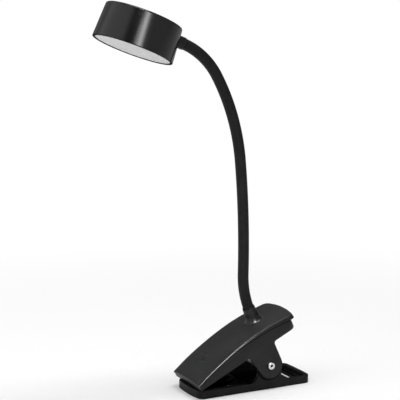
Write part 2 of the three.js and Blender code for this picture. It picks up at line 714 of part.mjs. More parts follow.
function coverHalfWidth(x) {
  const share = THREE.MathUtils.clamp(x / BELLY_LENGTH, 0, 1);
  return SHELL_HALF + COVER_SIDE_AT_NOSE + (COVER_SIDE_AT_TAIL - COVER_SIDE_AT_NOSE) * share;
}

// The cover's top at (x, y): an arch from nose to tail, slightly domed across, with rounded sides and tail.
function coverHeight(x, y, halfWidth, endX) {
  const crown = bowHeight(CROWN, x) + COVER_DOME * (1 - (y / halfWidth) ** 2);
  const band = bowHeight(CROWN, x) - bowHeight(SEAM, Math.min(x, BELLY_LENGTH));
  const edge = Math.min(COVER_EDGE, band * 0.6);
  const intoSide = Math.max(0, edge - (halfWidth - Math.abs(y)));
  const intoTail = Math.max(0, edge - (endX - x));
  return crown - edge + Math.sqrt(Math.max(0, edge ** 2 - intoSide ** 2 - intoTail ** 2));
}

// A closed body under the cover's top surface, moved in by `inset` all round and down to bottomAt(x).
function coverBody(inset, bottomAt, rows, columns) {
  const positions = [];
  const index = [];
  const place = (row, column, isTop) => {
    const across = Math.sin(Math.PI / 2 * (2 * column / columns - 1));
    const along = Math.sin(Math.PI / 2 * row / rows);
    const startX = -COVER_LIP + inset;
    const tailHalf = coverHalfWidth(COVER_END) - inset;
    const tail = { corner: TAIL_CORNER - inset, bulge: TAIL_BOW };
    const endX = COVER_END - inset - endSetback(across * tailHalf, tailHalf, tail);
    const x = startX + (endX - startX) * along;
    const halfWidth = coverHalfWidth(x) - inset;
    const y = across * halfWidth;
    return [x, y, isTop ? coverHeight(x, y, halfWidth, endX) - inset : bottomAt(x)];
  };
  const low = (row, column) => row * (columns + 1) + column;
  const top = (row, column) => (rows + 1) * (columns + 1) + low(row, column);
  for (const isTop of [false, true]) {
    for (let row = 0; row <= rows; row += 1) {
      for (let column = 0; column <= columns; column += 1) {
        positions.push(...place(row, column, isTop));
      }
    }
  }
  const quad = (a, b, c, d) => index.push(a, b, c, a, c, d);
  for (let row = 0; row < rows; row += 1) {
    for (let column = 0; column < columns; column += 1) {
      quad(top(row, column), top(row + 1, column), top(row + 1, column + 1), top(row, column + 1));
      quad(low(row, column), low(row, column + 1), low(row + 1, column + 1), low(row + 1, column));
    }
    quad(low(row, 0), low(row + 1, 0), top(row + 1, 0), top(row, 0));
    quad(low(row + 1, columns), low(row, columns), top(row, columns), top(row + 1, columns));
  }
  for (let column = 0; column < columns; column += 1) {
    quad(low(0, column + 1), low(0, column), top(0, column), top(0, column + 1));
    quad(low(rows, column), low(rows, column + 1), top(rows, column + 1), top(rows, column));
  }
  const geometry = new THREE.BufferGeometry();
  geometry.setAttribute('position', new THREE.Float32BufferAttribute(positions, 3));
  geometry.setIndex(index);
  return solidFrom(geometry);
}

// Moves a solid drawn about the boss, with z = 0 at the boss's top, to its place on the cover.
function onBoss(geometry) {
  const lean = -bowSlope(CROWN, BOSS_FROM_NOSE);
  const place = bossTop();
  return geometry.rotateY(lean).translate(place.x, 0, place.z);
}

function bossTop() {
  const lean = -bowSlope(CROWN, BOSS_FROM_NOSE);
  const surface = bowHeight(CROWN, BOSS_FROM_NOSE) + COVER_DOME;
  return new THREE.Vector3(
    BOSS_FROM_NOSE + BOSS_HEIGHT * Math.sin(lean),
    0,
    surface + BOSS_HEIGHT * Math.cos(lean),
  );
}

function bossBody() {
  const flareRadius = BOSS_BASE_RADIUS - BOSS_TOP_RADIUS;
  const profile = [
    [0, -BOSS_HEIGHT - NUT_SEAT],
    [BOSS_BASE_RADIUS, -BOSS_HEIGHT - NUT_SEAT],
    ...arcPoints(BOSS_BASE_RADIUS, flareRadius, flareRadius, 270, 180, 4)
      .map(([radius, z]) => [radius, -BOSS_HEIGHT + BOSS_FLARE_STRETCH * z]),
    [BOSS_TOP_RADIUS, -BOSS_TOP_EDGE],
    [BOSS_TOP_RADIUS - BOSS_TOP_EDGE, 0],
    [0, 0],
  ];
  return solidFrom(onBoss(turned(profile)));
}

function topCover() {
  const seamGap = GAP / 2;
  const seamHeight = (x) => bowHeight(SEAM, Math.min(x, BELLY_LENGTH));
  const outer = coverBody(0, (x) => seamHeight(x) + seamGap, 16, 14);
  const inner = coverBody(COVER_WALL, (x) => seamHeight(x) - SEAM_TAIL_HEIGHT, 8, 8);
  const shell = outer.subtract(inner);
  const posts = [];
  const pilots = [];
  for (const { x, y } of screwPlaces()) {
    const top = bowHeight(CROWN, x) - COVER_WALL / 2;
    const foot = SHELL_FLOOR + GAP;
    posts.push(post(x, y, POST_RADIUS, foot, top));
    pilots.push(post(x, y, SCREW_RADIUS + GAP, foot - 1, SHELL_FLOOR + SCREW_BITE + GAP));
  }
  const bore = [
    solidFrom(onBoss(turned([[0, SEAT_Z], [SLEEVE_RADIUS + GAP, SEAT_Z], [SLEEVE_RADIUS + GAP, 1], [0, 1]]))),
    solidFrom(onBoss(turned([[0, -40], [SHANK_RADIUS + GAP, -40], [SHANK_RADIUS + GAP, 1], [0, 1]]))),
  ];
  const sphereRadius = (DIMPLE_RADIUS ** 2 + DIMPLE_DEPTH ** 2) / (2 * DIMPLE_DEPTH);
  const dimple = new THREE.SphereGeometry(sphereRadius, 28, 28);
  const dimpleSurface = bowHeight(CROWN, DIMPLE_FROM_NOSE) + COVER_DOME;
  dimple.rotateX(Math.PI / 2).translate(0, 0, sphereRadius - DIMPLE_DEPTH);
  dimple.rotateY(-bowSlope(CROWN, DIMPLE_FROM_NOSE)).translate(DIMPLE_FROM_NOSE, 0, dimpleSurface);
  return without(joined([shell, ...posts, bossBody()]), [...pilots, ...bore, solidFrom(dimple)]);
}

// ---------- inside the upper jaw ----------

function coverScrews() {
  return screwPlaces().map(({ x, y }, i) => {
    const head = post(x, y, SCREW_HEAD_RADIUS, 0, SCREW_HEAD_HEIGHT);
    const shank = post(x, y, SCREW_RADIUS, SCREW_HEAD_HEIGHT / 2, SHELL_FLOOR + SCREW_BITE);
    return piece(`cover_screw_${i + 1}`, head.add(shank), BRIGHT_STEEL);
  });
}

function cellFoam() {
  const bottom = SHELL_FLOOR + GAP;
  const half = CELL_WIDTH / 2 - FOAM_INSET;
  const toX = CELL_START + CELL_LENGTH - FOAM_INSET;
  return block(CELL_START + FOAM_INSET, toX, -half, half, bottom, bottom + FOAM_THICKNESS);
}

function cell() {
  const bottom = SHELL_FLOOR + GAP + FOAM_THICKNESS + GAP;
  const outline = roundedRectangle(CELL_START, CELL_START + CELL_LENGTH, CELL_WIDTH / 2, CELL_HEIGHT / 2);
  return flatPrism(outline, bottom, bottom + CELL_HEIGHT);
}

function controlBoard() {
  const bottom = SHELL_FLOOR + GAP;
  const top = bottom + CONTROL_THICKNESS;
  const toX = BELLY_LENGTH - SHELL_WALL - 2 * GAP - TAIL_BOW / 2;
  const half = CONTROL_WIDTH / 2;
  const notchHalf = INLET_WIDTH / 2 + GAP;
  const board = block(CONTROL_START, toX, -half, half, bottom, top);
  const notch = block(inletStart() - GAP, toX + 1, -notchHalf, notchHalf, bottom - 1, top + 1);
  const parts = CONTROL_PARTS.map(({ fromX, length, fromY, width, height }) => {
    const x = CONTROL_START + fromX;
    return block(x, x + length, fromY, fromY + width, top - CONTROL_THICKNESS / 2, top + height);
  });
  return joined([board.subtract(notch), ...parts]);
}

// The charging inlet: a thin rounded shell with a back and a tongue, open towards the tail.
function chargingInlet() {
  const fromX = inletStart();
  const shell = inletPrism(0, fromX, fromX + INLET_LENGTH);
  const mouth = inletPrism(-INLET_SHELL, fromX + 1, fromX + INLET_LENGTH + 1);
  const half = TONGUE_WIDTH / 2;
  const fromZ = inletHeight() - TONGUE_THICKNESS / 2;
  const tongue = block(fromX + 0.5, fromX + INLET_LENGTH - 1, -half, half, fromZ, fromZ + TONGUE_THICKNESS);
  return shell.subtract(mouth).add(tongue);
}

function touchPlate() {
  const depth = COVER_WALL + GAP;
  const geometry = new THREE.CylinderGeometry(TOUCH_RADIUS, TOUCH_RADIUS, TOUCH_THICKNESS, sidesFor(TOUCH_RADIUS));
  geometry.rotateX(Math.PI / 2).translate(0, 0, -depth - TOUCH_THICKNESS / 2);
  const surface = bowHeight(CROWN, DIMPLE_FROM_NOSE) + COVER_DOME * 0.9;
  geometry.rotateY(-bowSlope(CROWN, DIMPLE_FROM_NOSE)).translate(DIMPLE_FROM_NOSE, 0, surface);
  return solidFrom(geometry);
}

// ---------- neck ----------

// A centreline in the plane y = 0 that starts straight up at the origin and follows its bends.
class BentLine {
  constructor(bends) {
    this.bends = bends;
  }

  // Position and heading at distance s; before the start and past the end it runs straight on.
  at(s) {
    let x = 0;
    let z = 0;
    let heading = 0;
    let left = s;
    if (s < 0) {
      return { x: 0, z: s, heading: 0 };
    }
    for (const { length, turn } of this.bends) {
      const run = Math.min(left, length);
      const turnBy = THREE.MathUtils.degToRad(turn) * run / length;
      const chord = Math.abs(turnBy) < 1e-9 ? run : 2 * (run / turnBy) * Math.sin(turnBy / 2);
      x -= chord * Math.sin(heading + turnBy / 2);
      z += chord * Math.cos(heading + turnBy / 2);
      heading += turnBy;
      left -= run;
    }
    return { x: x - left * Math.sin(heading), z: z + left * Math.cos(heading), heading };
  }

  // Bends a profile of [radius, distance along the line] turned about the line.
  sweep(profile, sides) {
    const geometry = turned(profile, sides);
    const position = geometry.attributes.position;
    for (let i = 0; i < position.count; i += 1) {
      const across = position.getX(i);
      const { x, z, heading } = this.at(position.getZ(i));
      position.setX(i, x + across * Math.cos(heading));
      position.setZ(i, z + across * Math.sin(heading));
    }
    return geometry;
  }
}

const NECK_LINE = new BentLine([...NECK_BENDS, { length: FITTING_SEEN, turn: 0 }]);

function stations(from, to, steps) {
  return Array.from({ length: steps + 1 }, (_, i) => from + (to - from) * i / steps);
}

// A pipe along the neck between two distances, as a closed profile of [radius, distance].
function pipeProfile(from, to, outer, inner, steps) {
  const along = stations(from, to, steps);
  const outside = along.map((s) => [outer, s]);
  const inside = along.map((s) => [inner, s]).reverse();
  return closed([...outside, ...inside]);
}

function sleeve() {
  const from = SEAT_Z + FITTING_COLLAR + 2 * GAP;
  const profile = pipeProfile(from, SLEEVE_END - GAP, SLEEVE_RADIUS, SLEEVE_RADIUS - SLEEVE_WALL, 34);
  return solidFrom(NECK_LINE.sweep(profile, NECK_SIDES));
}

function jointDistance(i) {
  return END_LENGTH + i * JOINT_PITCH;
}

// One length of the core: its lower end is dished round the ball of the length below, its upper end is a ball.
function coreLength(i) {
  const isFirst = i === 0;
  const isLast = i === BEND_COUNT;
  const dish = CORE_RADIUS + GAP;
  const rim = Math.sqrt(dish ** 2 - CORE_RADIUS ** 2);
  const mouth = Math.sqrt(dish ** 2 - CORE_BORE ** 2);
  const profile = [];
  const lower = isFirst ? SEAT_Z + FITTING_COLLAR + GAP - SOCKET_DEPTH + GAP : jointDistance(i - 1);
  const upper = isLast ? SLEEVE_END + SOCKET_DEPTH - GAP : jointDistance(i);
  const outerFrom = isFirst ? lower : lower + rim;
  profile.push(...stations(outerFrom, upper, 2).map((s) => [CORE_RADIUS, s]));
  if (!isLast) {
    const crown = THREE.MathUtils.radToDeg(Math.acos(CORE_BORE / CORE_RADIUS));
    profile.push(...arcPoints(0, upper, CORE_RADIUS, 0, crown, 2).slice(1));
  }
  const innerTo = isFirst ? lower : lower + mouth;
  const innerFrom = isLast ? upper : upper + Math.sqrt(CORE_RADIUS ** 2 - CORE_BORE ** 2);
  profile.push(...stations(innerFrom, innerTo, 2).slice(isLast ? 0 : 1).map((s) => [CORE_BORE, s]));
  if (!isFirst) {
    const steep = THREE.MathUtils.radToDeg(Math.acos(CORE_BORE / dish));
    const shallow = THREE.MathUtils.radToDeg(Math.acos(CORE_RADIUS / dish));
    profile.push(...arcPoints(0, lower, dish, steep, shallow, 2).slice(1, -1));
  }
  return solidFrom(NECK_LINE.sweep(closed(profile), NECK_SIDES));
}

// Lower end fitting: a collar in the boss with a socket for the core, and a shank through the cover.
function lowerFitting() {
  const top = SEAT_Z + FITTING_COLLAR + GAP;
  const under = SEAT_Z + GAP;
  const end = -BOSS_HEIGHT - NUT_SEAT - WASHER_THICKNESS - NUT_THICKNESS - 3 * GAP;
  const profile = closed([
    [CORE_BORE, end],
    [SHANK_RADIUS, end],
    [SHANK_RADIUS, under],
    [SLEEVE_RADIUS, under],
    [SLEEVE_RADIUS, top],
    [CORE_RADIUS + GAP, top],
    [CORE_RADIUS + GAP, top - SOCKET_DEPTH],
    [CORE_BORE, top - SOCKET_DEPTH],
  ]);
  return solidFrom(turned(profile));
}

// Upper end fitting: the part seen at the head, and a shank through the head's wall.
function upperFitting() {
  const from = SLEEVE_END;
  const shoulder = NECK_LENGTH + FITTING_SEAT - GAP;
  const end = NECK_LENGTH + HEAD_WALL_AT_NECK - HEAD_NUT_END;
  const profile = closed([
    [CORE_RADIUS + GAP, from],
    [CORE_RADIUS + GAP, from + SOCKET_DEPTH],
    [CORE_BORE, from + SOCKET_DEPTH],
    [CORE_BORE, end],
    [SHANK_RADIUS, end],
    [SHANK_RADIUS, shoulder],
    [FITTING_RADIUS, shoulder],
    [FITTING_RADIUS, from + 0.4],
    [FITTING_RADIUS - 0.4, from],
  ].reverse());
  return solidFrom(NECK_LINE.sweep(profile, sidesFor(FITTING_RADIUS)));
}

function washer(fromZ) {
  return flatPrism(ring(NUT_RADIUS, SHANK_RADIUS + GAP), fromZ, fromZ + WASHER_THICKNESS);
}

function hexNut(fromZ) {
  const shape = new THREE.Shape();
  for (let i = 0; i < 6; i += 1) {
    const angle = i * Math.PI / 3;
    const step = i === 0 ? 'moveTo' : 'lineTo';
    shape[step](NUT_RADIUS * Math.cos(angle), NUT_RADIUS * Math.sin(angle));
  }
  shape.closePath();
  shape.holes.push(new THREE.Path().absarc(0, 0, SHANK_RADIUS + GAP, 0, 2 * Math.PI));
  return flatPrism(shape, fromZ, fromZ + NUT_THICKNESS);
}

// The lead runs through the neck and then bends down to the board in the head.
function lampLead() {
  const coverToBoard = bowHeight(CROWN, BOSS_FROM_NOSE) + COVER_DOME - SHELL_FLOOR - GAP - CONTROL_THICKNESS;
  const from = -BOSS_HEIGHT - coverToBoard + 2 * GAP;
  const straight = HEAD_WALL_AT_NECK - HEAD_LEAD_X;
  const drop = HEAD_NECK_HEIGHT - LEAD_BEND - BOARD_HEIGHT - BOARD_THICKNESS - GAP;
  const line = new BentLine([
    ...NECK_BENDS,
    { length: FITTING_SEEN + straight, turn: 0 },
    { length: LEAD_BEND * Math.PI / 2, turn: 90 },
    { length: drop, turn: 0 },
  ]);
  const arcStart = NECK_LENGTH + straight;
  const arcEnd = arcStart + LEAD_BEND * Math.PI / 2;
  const along = [
    from,
    ...stations(0, NECK_LENGTH, 32),
    ...stations(arcStart, arcEnd, 4),
    arcEnd + drop,
  ];
  const profile = [[0, from], ...along.map((s) => [LEAD_RADIUS, s]), [0, arcEnd + drop]];
  return solidFrom(line.sweep(profile, 8));
}

// ---------- head, in its own frame: z = 0 at the bottom rim, the neck comes in at +X ----------

function headRadiusAt(z) {
  return HEAD_RADIUS - HEAD_SLOPE * z;
}

function headHousing() {
  const edgeZ = HEAD_HEIGHT - HEAD_TOP_EDGE;
  const ledgeZ = DIFFUSER_INSET + DIFFUSER_THICKNESS + GAP;
  const innerTop = HEAD_HEIGHT - HEAD_WALL;
  const profile = [
    [0, innerTop],
    [headRadiusAt(innerTop) - HEAD_WALL - DIFFUSER_LEDGE, innerTop],
    [headRadiusAt(ledgeZ) - HEAD_WALL - DIFFUSER_LEDGE, ledgeZ],
    [headRadiusAt(ledgeZ) - HEAD_WALL, ledgeZ],
    [headRadiusAt(0) - HEAD_WALL, 0],
    [headRadiusAt(0) - 0.4, 0],
    [headRadiusAt(0.4), 0.4],
    ...arcPoints(headRadiusAt(edgeZ) - HEAD_TOP_EDGE, edgeZ, HEAD_TOP_EDGE, 0, 90, 4),
    [0, HEAD_HEIGHT],
  ];
  const body = solidFrom(turned(profile));
  const sideways = (radius, fromX, toX) => {
    const geometry = new THREE.CylinderGeometry(radius, radius, toX - fromX, sidesFor(radius));
    return solidFrom(geometry.rotateZ(Math.PI / 2).translate((fromX + toX) / 2, 0, HEAD_NECK_HEIGHT));
  };
  const boardTop = BOARD_HEIGHT + BOARD_THICKNESS + GAP;
  const posts = boardScrewPlaces().map(({ x, y }) => post(x, y, POST_RADIUS, boardTop, innerTop + HEAD_WALL / 2));
  const pilots = boardScrewPlaces().map(({ x, y }) => (
    post(x, y, SCREW_RADIUS + GAP, boardTop - 1, boardTop + SCREW_BITE + GAP)
  ));
  const boss = sideways(HEAD_BOSS_RADIUS, HEAD_BOSS_FACE, HEAD_WALL_AT_NECK - HEAD_WALL);
  return without(joined([body, boss, ...posts]), [
    ...pilots,
    sideways(FITTING_RADIUS + GAP, HEAD_WALL_AT_NECK - FITTING_SEAT, HEAD_RADIUS + 5),
    sideways(SHANK_RADIUS + GAP, HEAD_BOSS_FACE - 1, HEAD_RADIUS + 5),
  ]);
}

function boardScrewPlaces() {
  return Array.from({ length: BOARD_SCREW_COUNT }, (_, i) => {
    const angle = (2 * i + 1) * Math.PI / BOARD_SCREW_COUNT;
    return { x: BOARD_SCREW_CIRCLE * Math.cos(angle), y: BOARD_SCREW_CIRCLE * Math.sin(angle) };
  });
}

function chipCircle(count, radius) {
  return Array.from({ length: count }, (_, i) => {
    const chip = new THREE.BoxGeometry(CHIP_SIZE, CHIP_SIZE, 2 * CHIP_HEIGHT);
    chip.translate(radius, 0, BOARD_HEIGHT).rotateZ((i + 0.5) * 2 * Math.PI / count);
    return solidFrom(chip);
  });
}

function ledBoard() {
  const top = BOARD_HEIGHT + BOARD_THICKNESS;
  const plate = post(0, 0, BOARD_RADIUS, BOARD_HEIGHT, top);
  const chips = [
    ...chipCircle(OUTER_CHIP_COUNT, OUTER_CHIP_CIRCLE),
    ...chipCircle(INNER_CHIP_COUNT, INNER_CHIP_CIRCLE),
  ];
  const holes = boardScrewPlaces().map(({ x, y }) => post(x, y, SCREW_RADIUS + GAP, 0, top + 1));
  return without(joined([plate, ...chips]), holes);
}

function boardScrews() {
  return boardScrewPlaces().map(({ x, y }, i) => {
    const headTop = BOARD_HEIGHT - GAP;
    const head = post(x, y, SCREW_HEAD_RADIUS, headTop - SCREW_HEAD_HEIGHT, headTop);
    const shankTop = BOARD_HEIGHT + BOARD_THICKNESS + GAP + SCREW_BITE;
    const shank = post(x, y, SCREW_RADIUS, headTop - SCREW_HEAD_HEIGHT / 2, shankTop);
    return piece(`board_screw_${i + 1}`, head.add(shank), BRIGHT_STEEL);
  });
}

function diffuser() {
  const radius = headRadiusAt(DIFFUSER_INSET + DIFFUSER_THICKNESS) - HEAD_WALL - GAP;
  const top = DIFFUSER_INSET + DIFFUSER_THICKNESS;
  const bevel = DIFFUSER_THICKNESS / 4;
  const profile = [
    [0, DIFFUSER_INSET],
    [radius - bevel, DIFFUSER_INSET],
    [radius, DIFFUSER_INSET + bevel],
    [radius, top],
    [0, top],
  ];
  return solidFrom(turned(profile));
}

// ---------- assembly ----------

function headGroup() {
  const head = new THREE.Group();
  const end = NECK_LINE.at(NECK_LENGTH);
  const tilt = Math.PI / 2 - end.heading;
  head.rotation.y = tilt;
  const reach = new THREE.Vector3(-HEAD_WALL_AT_NECK, 0, -HEAD_NECK_HEIGHT);
  head.position.copy(reach.applyAxisAngle(new THREE.Vector3(0, 1, 0), tilt));
  head.position.add(new THREE.Vector3(end.x, 0, end.z));
  head.add(
    piece('head_housing', headHousing(), HEAD_BLACK),
    piece('led_board', ledBoard(), BOARD_WHITE),
    piece('diffuser', diffuser(), OPAL),
    ...boardScrews(),
  );
  const inside = new THREE.Group();
  inside.rotation.y = -Math.PI / 2;
  inside.position.set(HEAD_BOSS_FACE - GAP, 0, HEAD_NECK_HEIGHT);
  inside.add(piece('upper_washer', washer(0), BRIGHT_STEEL));
  inside.add(piece('upper_nut', hexNut(WASHER_THICKNESS + GAP), BRIGHT_STEEL));
  head.add(inside);
  return head;
}

function neckGroup() {
  const neck = new THREE.Group();
  const washerTop = -BOSS_HEIGHT - NUT_SEAT - GAP;
  const nutTop = washerTop - WASHER_THICKNESS - GAP;
  neck.position.copy(bossTop());
  neck.rotation.y = -bowSlope(CROWN, BOSS_FROM_NOSE);
  neck.add(
    piece('lower_fitting', lowerFitting(), BRIGHT_STEEL),
    piece('lower_washer', washer(washerTop - WASHER_THICKNESS), BRIGHT_STEEL),
    piece('lower_nut', hexNut(nutTop - NUT_THICKNESS), BRIGHT_STEEL),
    piece('neck_sleeve', sleeve(), SLEEVE_BLACK),
    piece('lamp_lead', lampLead(), LEAD_BLACK),
    piece('upper_fitting', upperFitting(), SLEEVE_BLACK),
  );
  for (let i = 0; i <= BEND_COUNT; i += 1) {
    neck.add(piece(`neck_core_${String(i).padStart(2, '0')}`, coreLength(i), SPRING_STEEL));
  }
  neck.add(headGroup());
  return neck;
}

function upperJawGroup() {
  const hinge = new THREE.Group();
  hinge.position.set(PIVOT_X, 0, PIVOT_HEIGHT);
  hinge.rotation.y = -CLOSED_ANGLE;
  const jaw = new THREE.Group();
  jaw.position.set(-PIVOT_FROM_NOSE, 0, PIVOT_DROP);
  jaw.add(
    piece('upper_shell', upperShell(), SATIN_BLACK),
    piece('top_cover', topCover(), SATIN_BLACK),
    piece('upper_pad', upperPad(), PAD_RUBBER),
    piece('cell_foam', cellFoam(), FOAM_GREY),
    piece('cell', cell(), CELL_FOIL),
    piece('control_board', controlBoard(), BOARD_GREEN),
    piece('charging_inlet', chargingInlet(), BRIGHT_STEEL),
    piece('touch_plate', touchPlate(), COPPER),
    ...coverScrews(),
    neckGroup(),
  );
  hinge.add(jaw);
  return hinge;
}

const lamp = new THREE.Group();
lamp.add(
  piece('lower_jaw', lowerJaw(), SATIN_BLACK),
  piece('lower_pad', lowerPad(), PAD_RUBBER),
  piece('pivot_pin', pivotPin(), BRIGHT_STEEL),
  piece('torsion_spring', torsionSpring(), SPRING_STEEL),
  upperJawGroup(),
);

export default lamp;
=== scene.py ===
"""The looks of a clip-on reading lamp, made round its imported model.

Everything is in metres in the model's frame: the origin is under the middle of the lower jaw,
-X is the clamp's nose, +X its handles, and the head leans over the nose.
"""

import json
import math

import bmesh
import bpy
from mathutils import Matrix, Vector


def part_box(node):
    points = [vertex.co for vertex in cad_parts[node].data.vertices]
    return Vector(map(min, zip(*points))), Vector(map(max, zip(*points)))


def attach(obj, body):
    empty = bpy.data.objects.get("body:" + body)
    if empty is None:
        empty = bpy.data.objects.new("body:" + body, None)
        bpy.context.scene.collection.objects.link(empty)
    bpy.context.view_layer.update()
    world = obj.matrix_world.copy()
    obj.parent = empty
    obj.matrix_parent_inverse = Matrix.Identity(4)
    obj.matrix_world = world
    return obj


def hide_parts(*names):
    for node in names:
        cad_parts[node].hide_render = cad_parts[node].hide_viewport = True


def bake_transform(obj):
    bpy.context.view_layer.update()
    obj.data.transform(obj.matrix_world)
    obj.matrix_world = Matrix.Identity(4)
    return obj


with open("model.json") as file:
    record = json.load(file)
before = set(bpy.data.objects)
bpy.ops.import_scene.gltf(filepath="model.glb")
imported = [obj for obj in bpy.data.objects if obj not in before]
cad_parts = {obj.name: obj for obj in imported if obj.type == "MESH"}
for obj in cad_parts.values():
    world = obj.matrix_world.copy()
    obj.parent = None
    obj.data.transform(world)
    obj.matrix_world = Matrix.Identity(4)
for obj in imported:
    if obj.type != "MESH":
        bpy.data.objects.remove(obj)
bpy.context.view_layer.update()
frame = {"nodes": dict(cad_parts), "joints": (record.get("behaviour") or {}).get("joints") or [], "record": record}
NODES = frame["nodes"]
JOINTS = {joint["name"]: joint for joint in frame["joints"]}

MM = 0.001
TINY = 1e-9

# ---------- sizes, as the model has them ----------

PIVOT = Vector(JOINTS["jaw_hinge"]["pos_m"])
PIVOT_FROM_NOSE = 66.7 * MM  # along the upper jaw's belly
PIVOT_DROP = 18 * MM  # below the belly
RAIL_HEIGHT = 7 * MM
NOSE_GAP = 1.5 * MM  # between the noses of the closed jaws
BELLY_LENGTH = 105.5 * MM
SHELL_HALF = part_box("upper_shell")[1].y
GAP = 0.3 * MM  # between neighbours that don't touch

EAR_RADIUS = 11.3 * MM

CROWN_ENDS = (5.8 * MM, 10.8 * MM)  # the cover's height over the belly, at nose and tail
CROWN_RISE = 6.5 * MM
SEAM_ENDS = (4.1 * MM, 7.1 * MM)  # and that of the seam under it
SEAM_RISE = 6.7 * MM

COVER_LIP = 0.6 * MM
COVER_END = BELLY_LENGTH + 3.5 * MM
COVER_WALL = 1.8 * MM
COVER_DOME = 1.6 * MM
COVER_GRID = (110, 72)  # rows from nose to tail, and columns across
CHAMFER_LIP = 1.1 * MM  # upright edge of the cover below its chamfer
CHAMFER_WIDTHS = (3.4 * MM, 0.8 * MM)  # at the nose and from CHAMFER_END back
CHAMFER_END = 66 * MM
CHAMFER_ROUND = 0.9 * MM  # how far its upper edge is eased
LIP_ROUND = 0.8 * MM
LIP_FALL = 0.6  # how much of a full quarter round the lip falls
SEAM_GROOVE = 0.55 * MM  # how far the cover's outer rim stands above the seam
COVER_SIDES = (0.5 * MM, 0.2 * MM)  # how far it stands out past the shell, at nose and tail
TAIL_BOW = 3.3 * MM
TAIL_CORNER = 5 * MM
DIMPLE_FROM_NOSE = 22 * MM
DIMPLE_RADIUS = 5.2 * MM
DIMPLE_DEPTH = 1.75 * MM

BOSS_FROM_NOSE = 78.4 * MM
BOSS_HEIGHT = 11.4 * MM
BOSS_RISE = 1.6 * MM  # how far its rim stands up round the sleeve
BOSS_TOP_RADIUS = 5.9 * MM
BOSS_BASE_RADIUS = 9.8 * MM
BOSS_SEAT_DEPTH = 6 * MM
BOSS_ROOT = 1.5 * MM  # how far it is sunk in the cover
BOSS_SKIRT = 0.4 * MM  # how far its root stands out past its flare
BOSS_SKIRT_DROP = 0.25 * MM  # and how far below the flare's foot that ends
BOSS_FOOT_SUNK = 0.1 * MM  # how far the flare's foot is sunk in the cover
BOSS_FLARE_STRETCH = 1.6  # the flare's height over its width
BOSS_FLARE_START, BOSS_FLARE_SWEEP = 268, 88  # degrees round the flare's arc
BOSS_FLARE_STEPS = 14
SEAL_RADIUS = 5.15 * MM
SEAL_HEIGHT = 1 * MM
SEAL_SLACK = 0.05 * MM  # clear of the sleeve and of the boss's rim

# Length, and turn in degrees towards -X, of each bend of the neck from the boss up.
NECK_BENDS = ((33 * MM, -23.9), (99.2 * MM, 6.7), (77 * MM, 24.2), (42.1 * MM, 38.6))
SLEEVE_RADIUS = 4.8 * MM
SLEEVE_WALL = 1.1 * MM
SLEEVE_SUNK = 2.4 * MM  # how far it reaches down into the boss
SLEEVE_STEP = 0.8 * MM
BEND_COUNT = 10
BEND_REACH = 10.5 * MM  # a distance each side of a joint, at which the neck's frame is taken
END_LENGTH = 12 * MM  # from each end of the sleeve to its nearest joint
FITTING_SEEN = 8 * MM
FITTING_RADIUS = 5.3 * MM
FITTING_BORE = 3.6 * MM
FITTING_FLANGE = 0.5 * MM
FITTING_SUNK = 1.2 * MM  # how far it reaches into the head

HEAD_RADIUS = 34.6 * MM
HEAD_HEIGHT = 29.8 * MM
HEAD_DRAFT = math.radians(3.2)
HEAD_WALL = 1.8 * MM
HEAD_NECK_HEIGHT = 21.5 * MM  # where the neck comes in, above the lower rim
HEAD_TRIM = 0.13 * MM  # the fine head stays this far inside the model's faceted one
LEDGE_HEIGHT = 3.1 * MM  # of the step in the wall, over the disc's edge
LEDGE_WIDTH = 0.9 * MM
LIP_HEIGHT = 1 * MM
LIP_FACING = -0.35  # a face of the lip turns at least this much downwards
LENS_LOW = 0.6 * MM
LENS_TOP = 2.8 * MM
LENS_RINGS = 12

TRAY_FLOOR = 2 * MM
WIRE_RADIUS = 0.9 * MM
COIL_RADIUS = 6.6 * MM
COIL_TURNS = 5
LOWER_LEG_X = 32 * MM
UPPER_LEG_FROM_TAIL = 17 * MM  # along the belly
LOWER_LEG_STEPS, COIL_STEPS, UPPER_LEG_STEPS = 12, 240, 16

PIN_RADIUS = 2 * MM
PIN_HEAD_RADIUS = 3.2 * MM
PIN_HEAD_HEIGHT = 1 * MM
PIN_HOLLOW_RADIUS = 1.25 * MM
PIN_HOLLOW_DEPTH = 2.4 * MM
PIN_HOLLOW_TAPER = 0.8  # the hollow's width at its bottom over that at its mouth

# ---------- frames of reference ----------


def closed_angle():
    """How far the closed upper jaw's belly leans, nose down."""
    reach = math.hypot(PIVOT_FROM_NOSE, PIVOT_DROP)
    fall = PIVOT.z - RAIL_HEIGHT - NOSE_GAP
    return math.asin(fall / reach) + math.atan2(PIVOT_DROP, PIVOT_FROM_NOSE)


def bow(x0, z0, x1, z1, rise):
    """The arc from (x0, z0) to (x1, z1) that rises above its chord: centre x, centre z, radius."""
    chord = math.hypot(x1 - x0, z1 - z0)
    radius = (chord * chord / 4 + rise * rise) / (2 * rise)
    depth = radius - rise
    centre_x = (x0 + x1) / 2 + depth * (z1 - z0) / chord
    centre_z = (z0 + z1) / 2 - depth * (x1 - x0) / chord
    return centre_x, centre_z, radius


def bow_height(arc, x):
    centre_x, centre_z, radius = arc
    return centre_z + math.sqrt(radius * radius - (x - centre_x) ** 2)


def bow_slope(arc, x):
    centre_x, _, radius = arc
    return -math.asin((x - centre_x) / radius)


CROWN = bow(-COVER_LIP, CROWN_ENDS[0], COVER_END, CROWN_ENDS[1], CROWN_RISE)
SEAM = bow(0, SEAM_ENDS[0], BELLY_LENGTH, SEAM_ENDS[1], SEAM_RISE)

# The upper jaw's frame: x along its belly from the nose, z square to the belly.
JAW_TO_WORLD = (
    Matrix.Translation(PIVOT)
    @ Matrix.Rotation(-closed_angle(), 4, "Y")
    @ Matrix.Translation((-PIVOT_FROM_NOSE, 0, PIVOT_DROP))
)


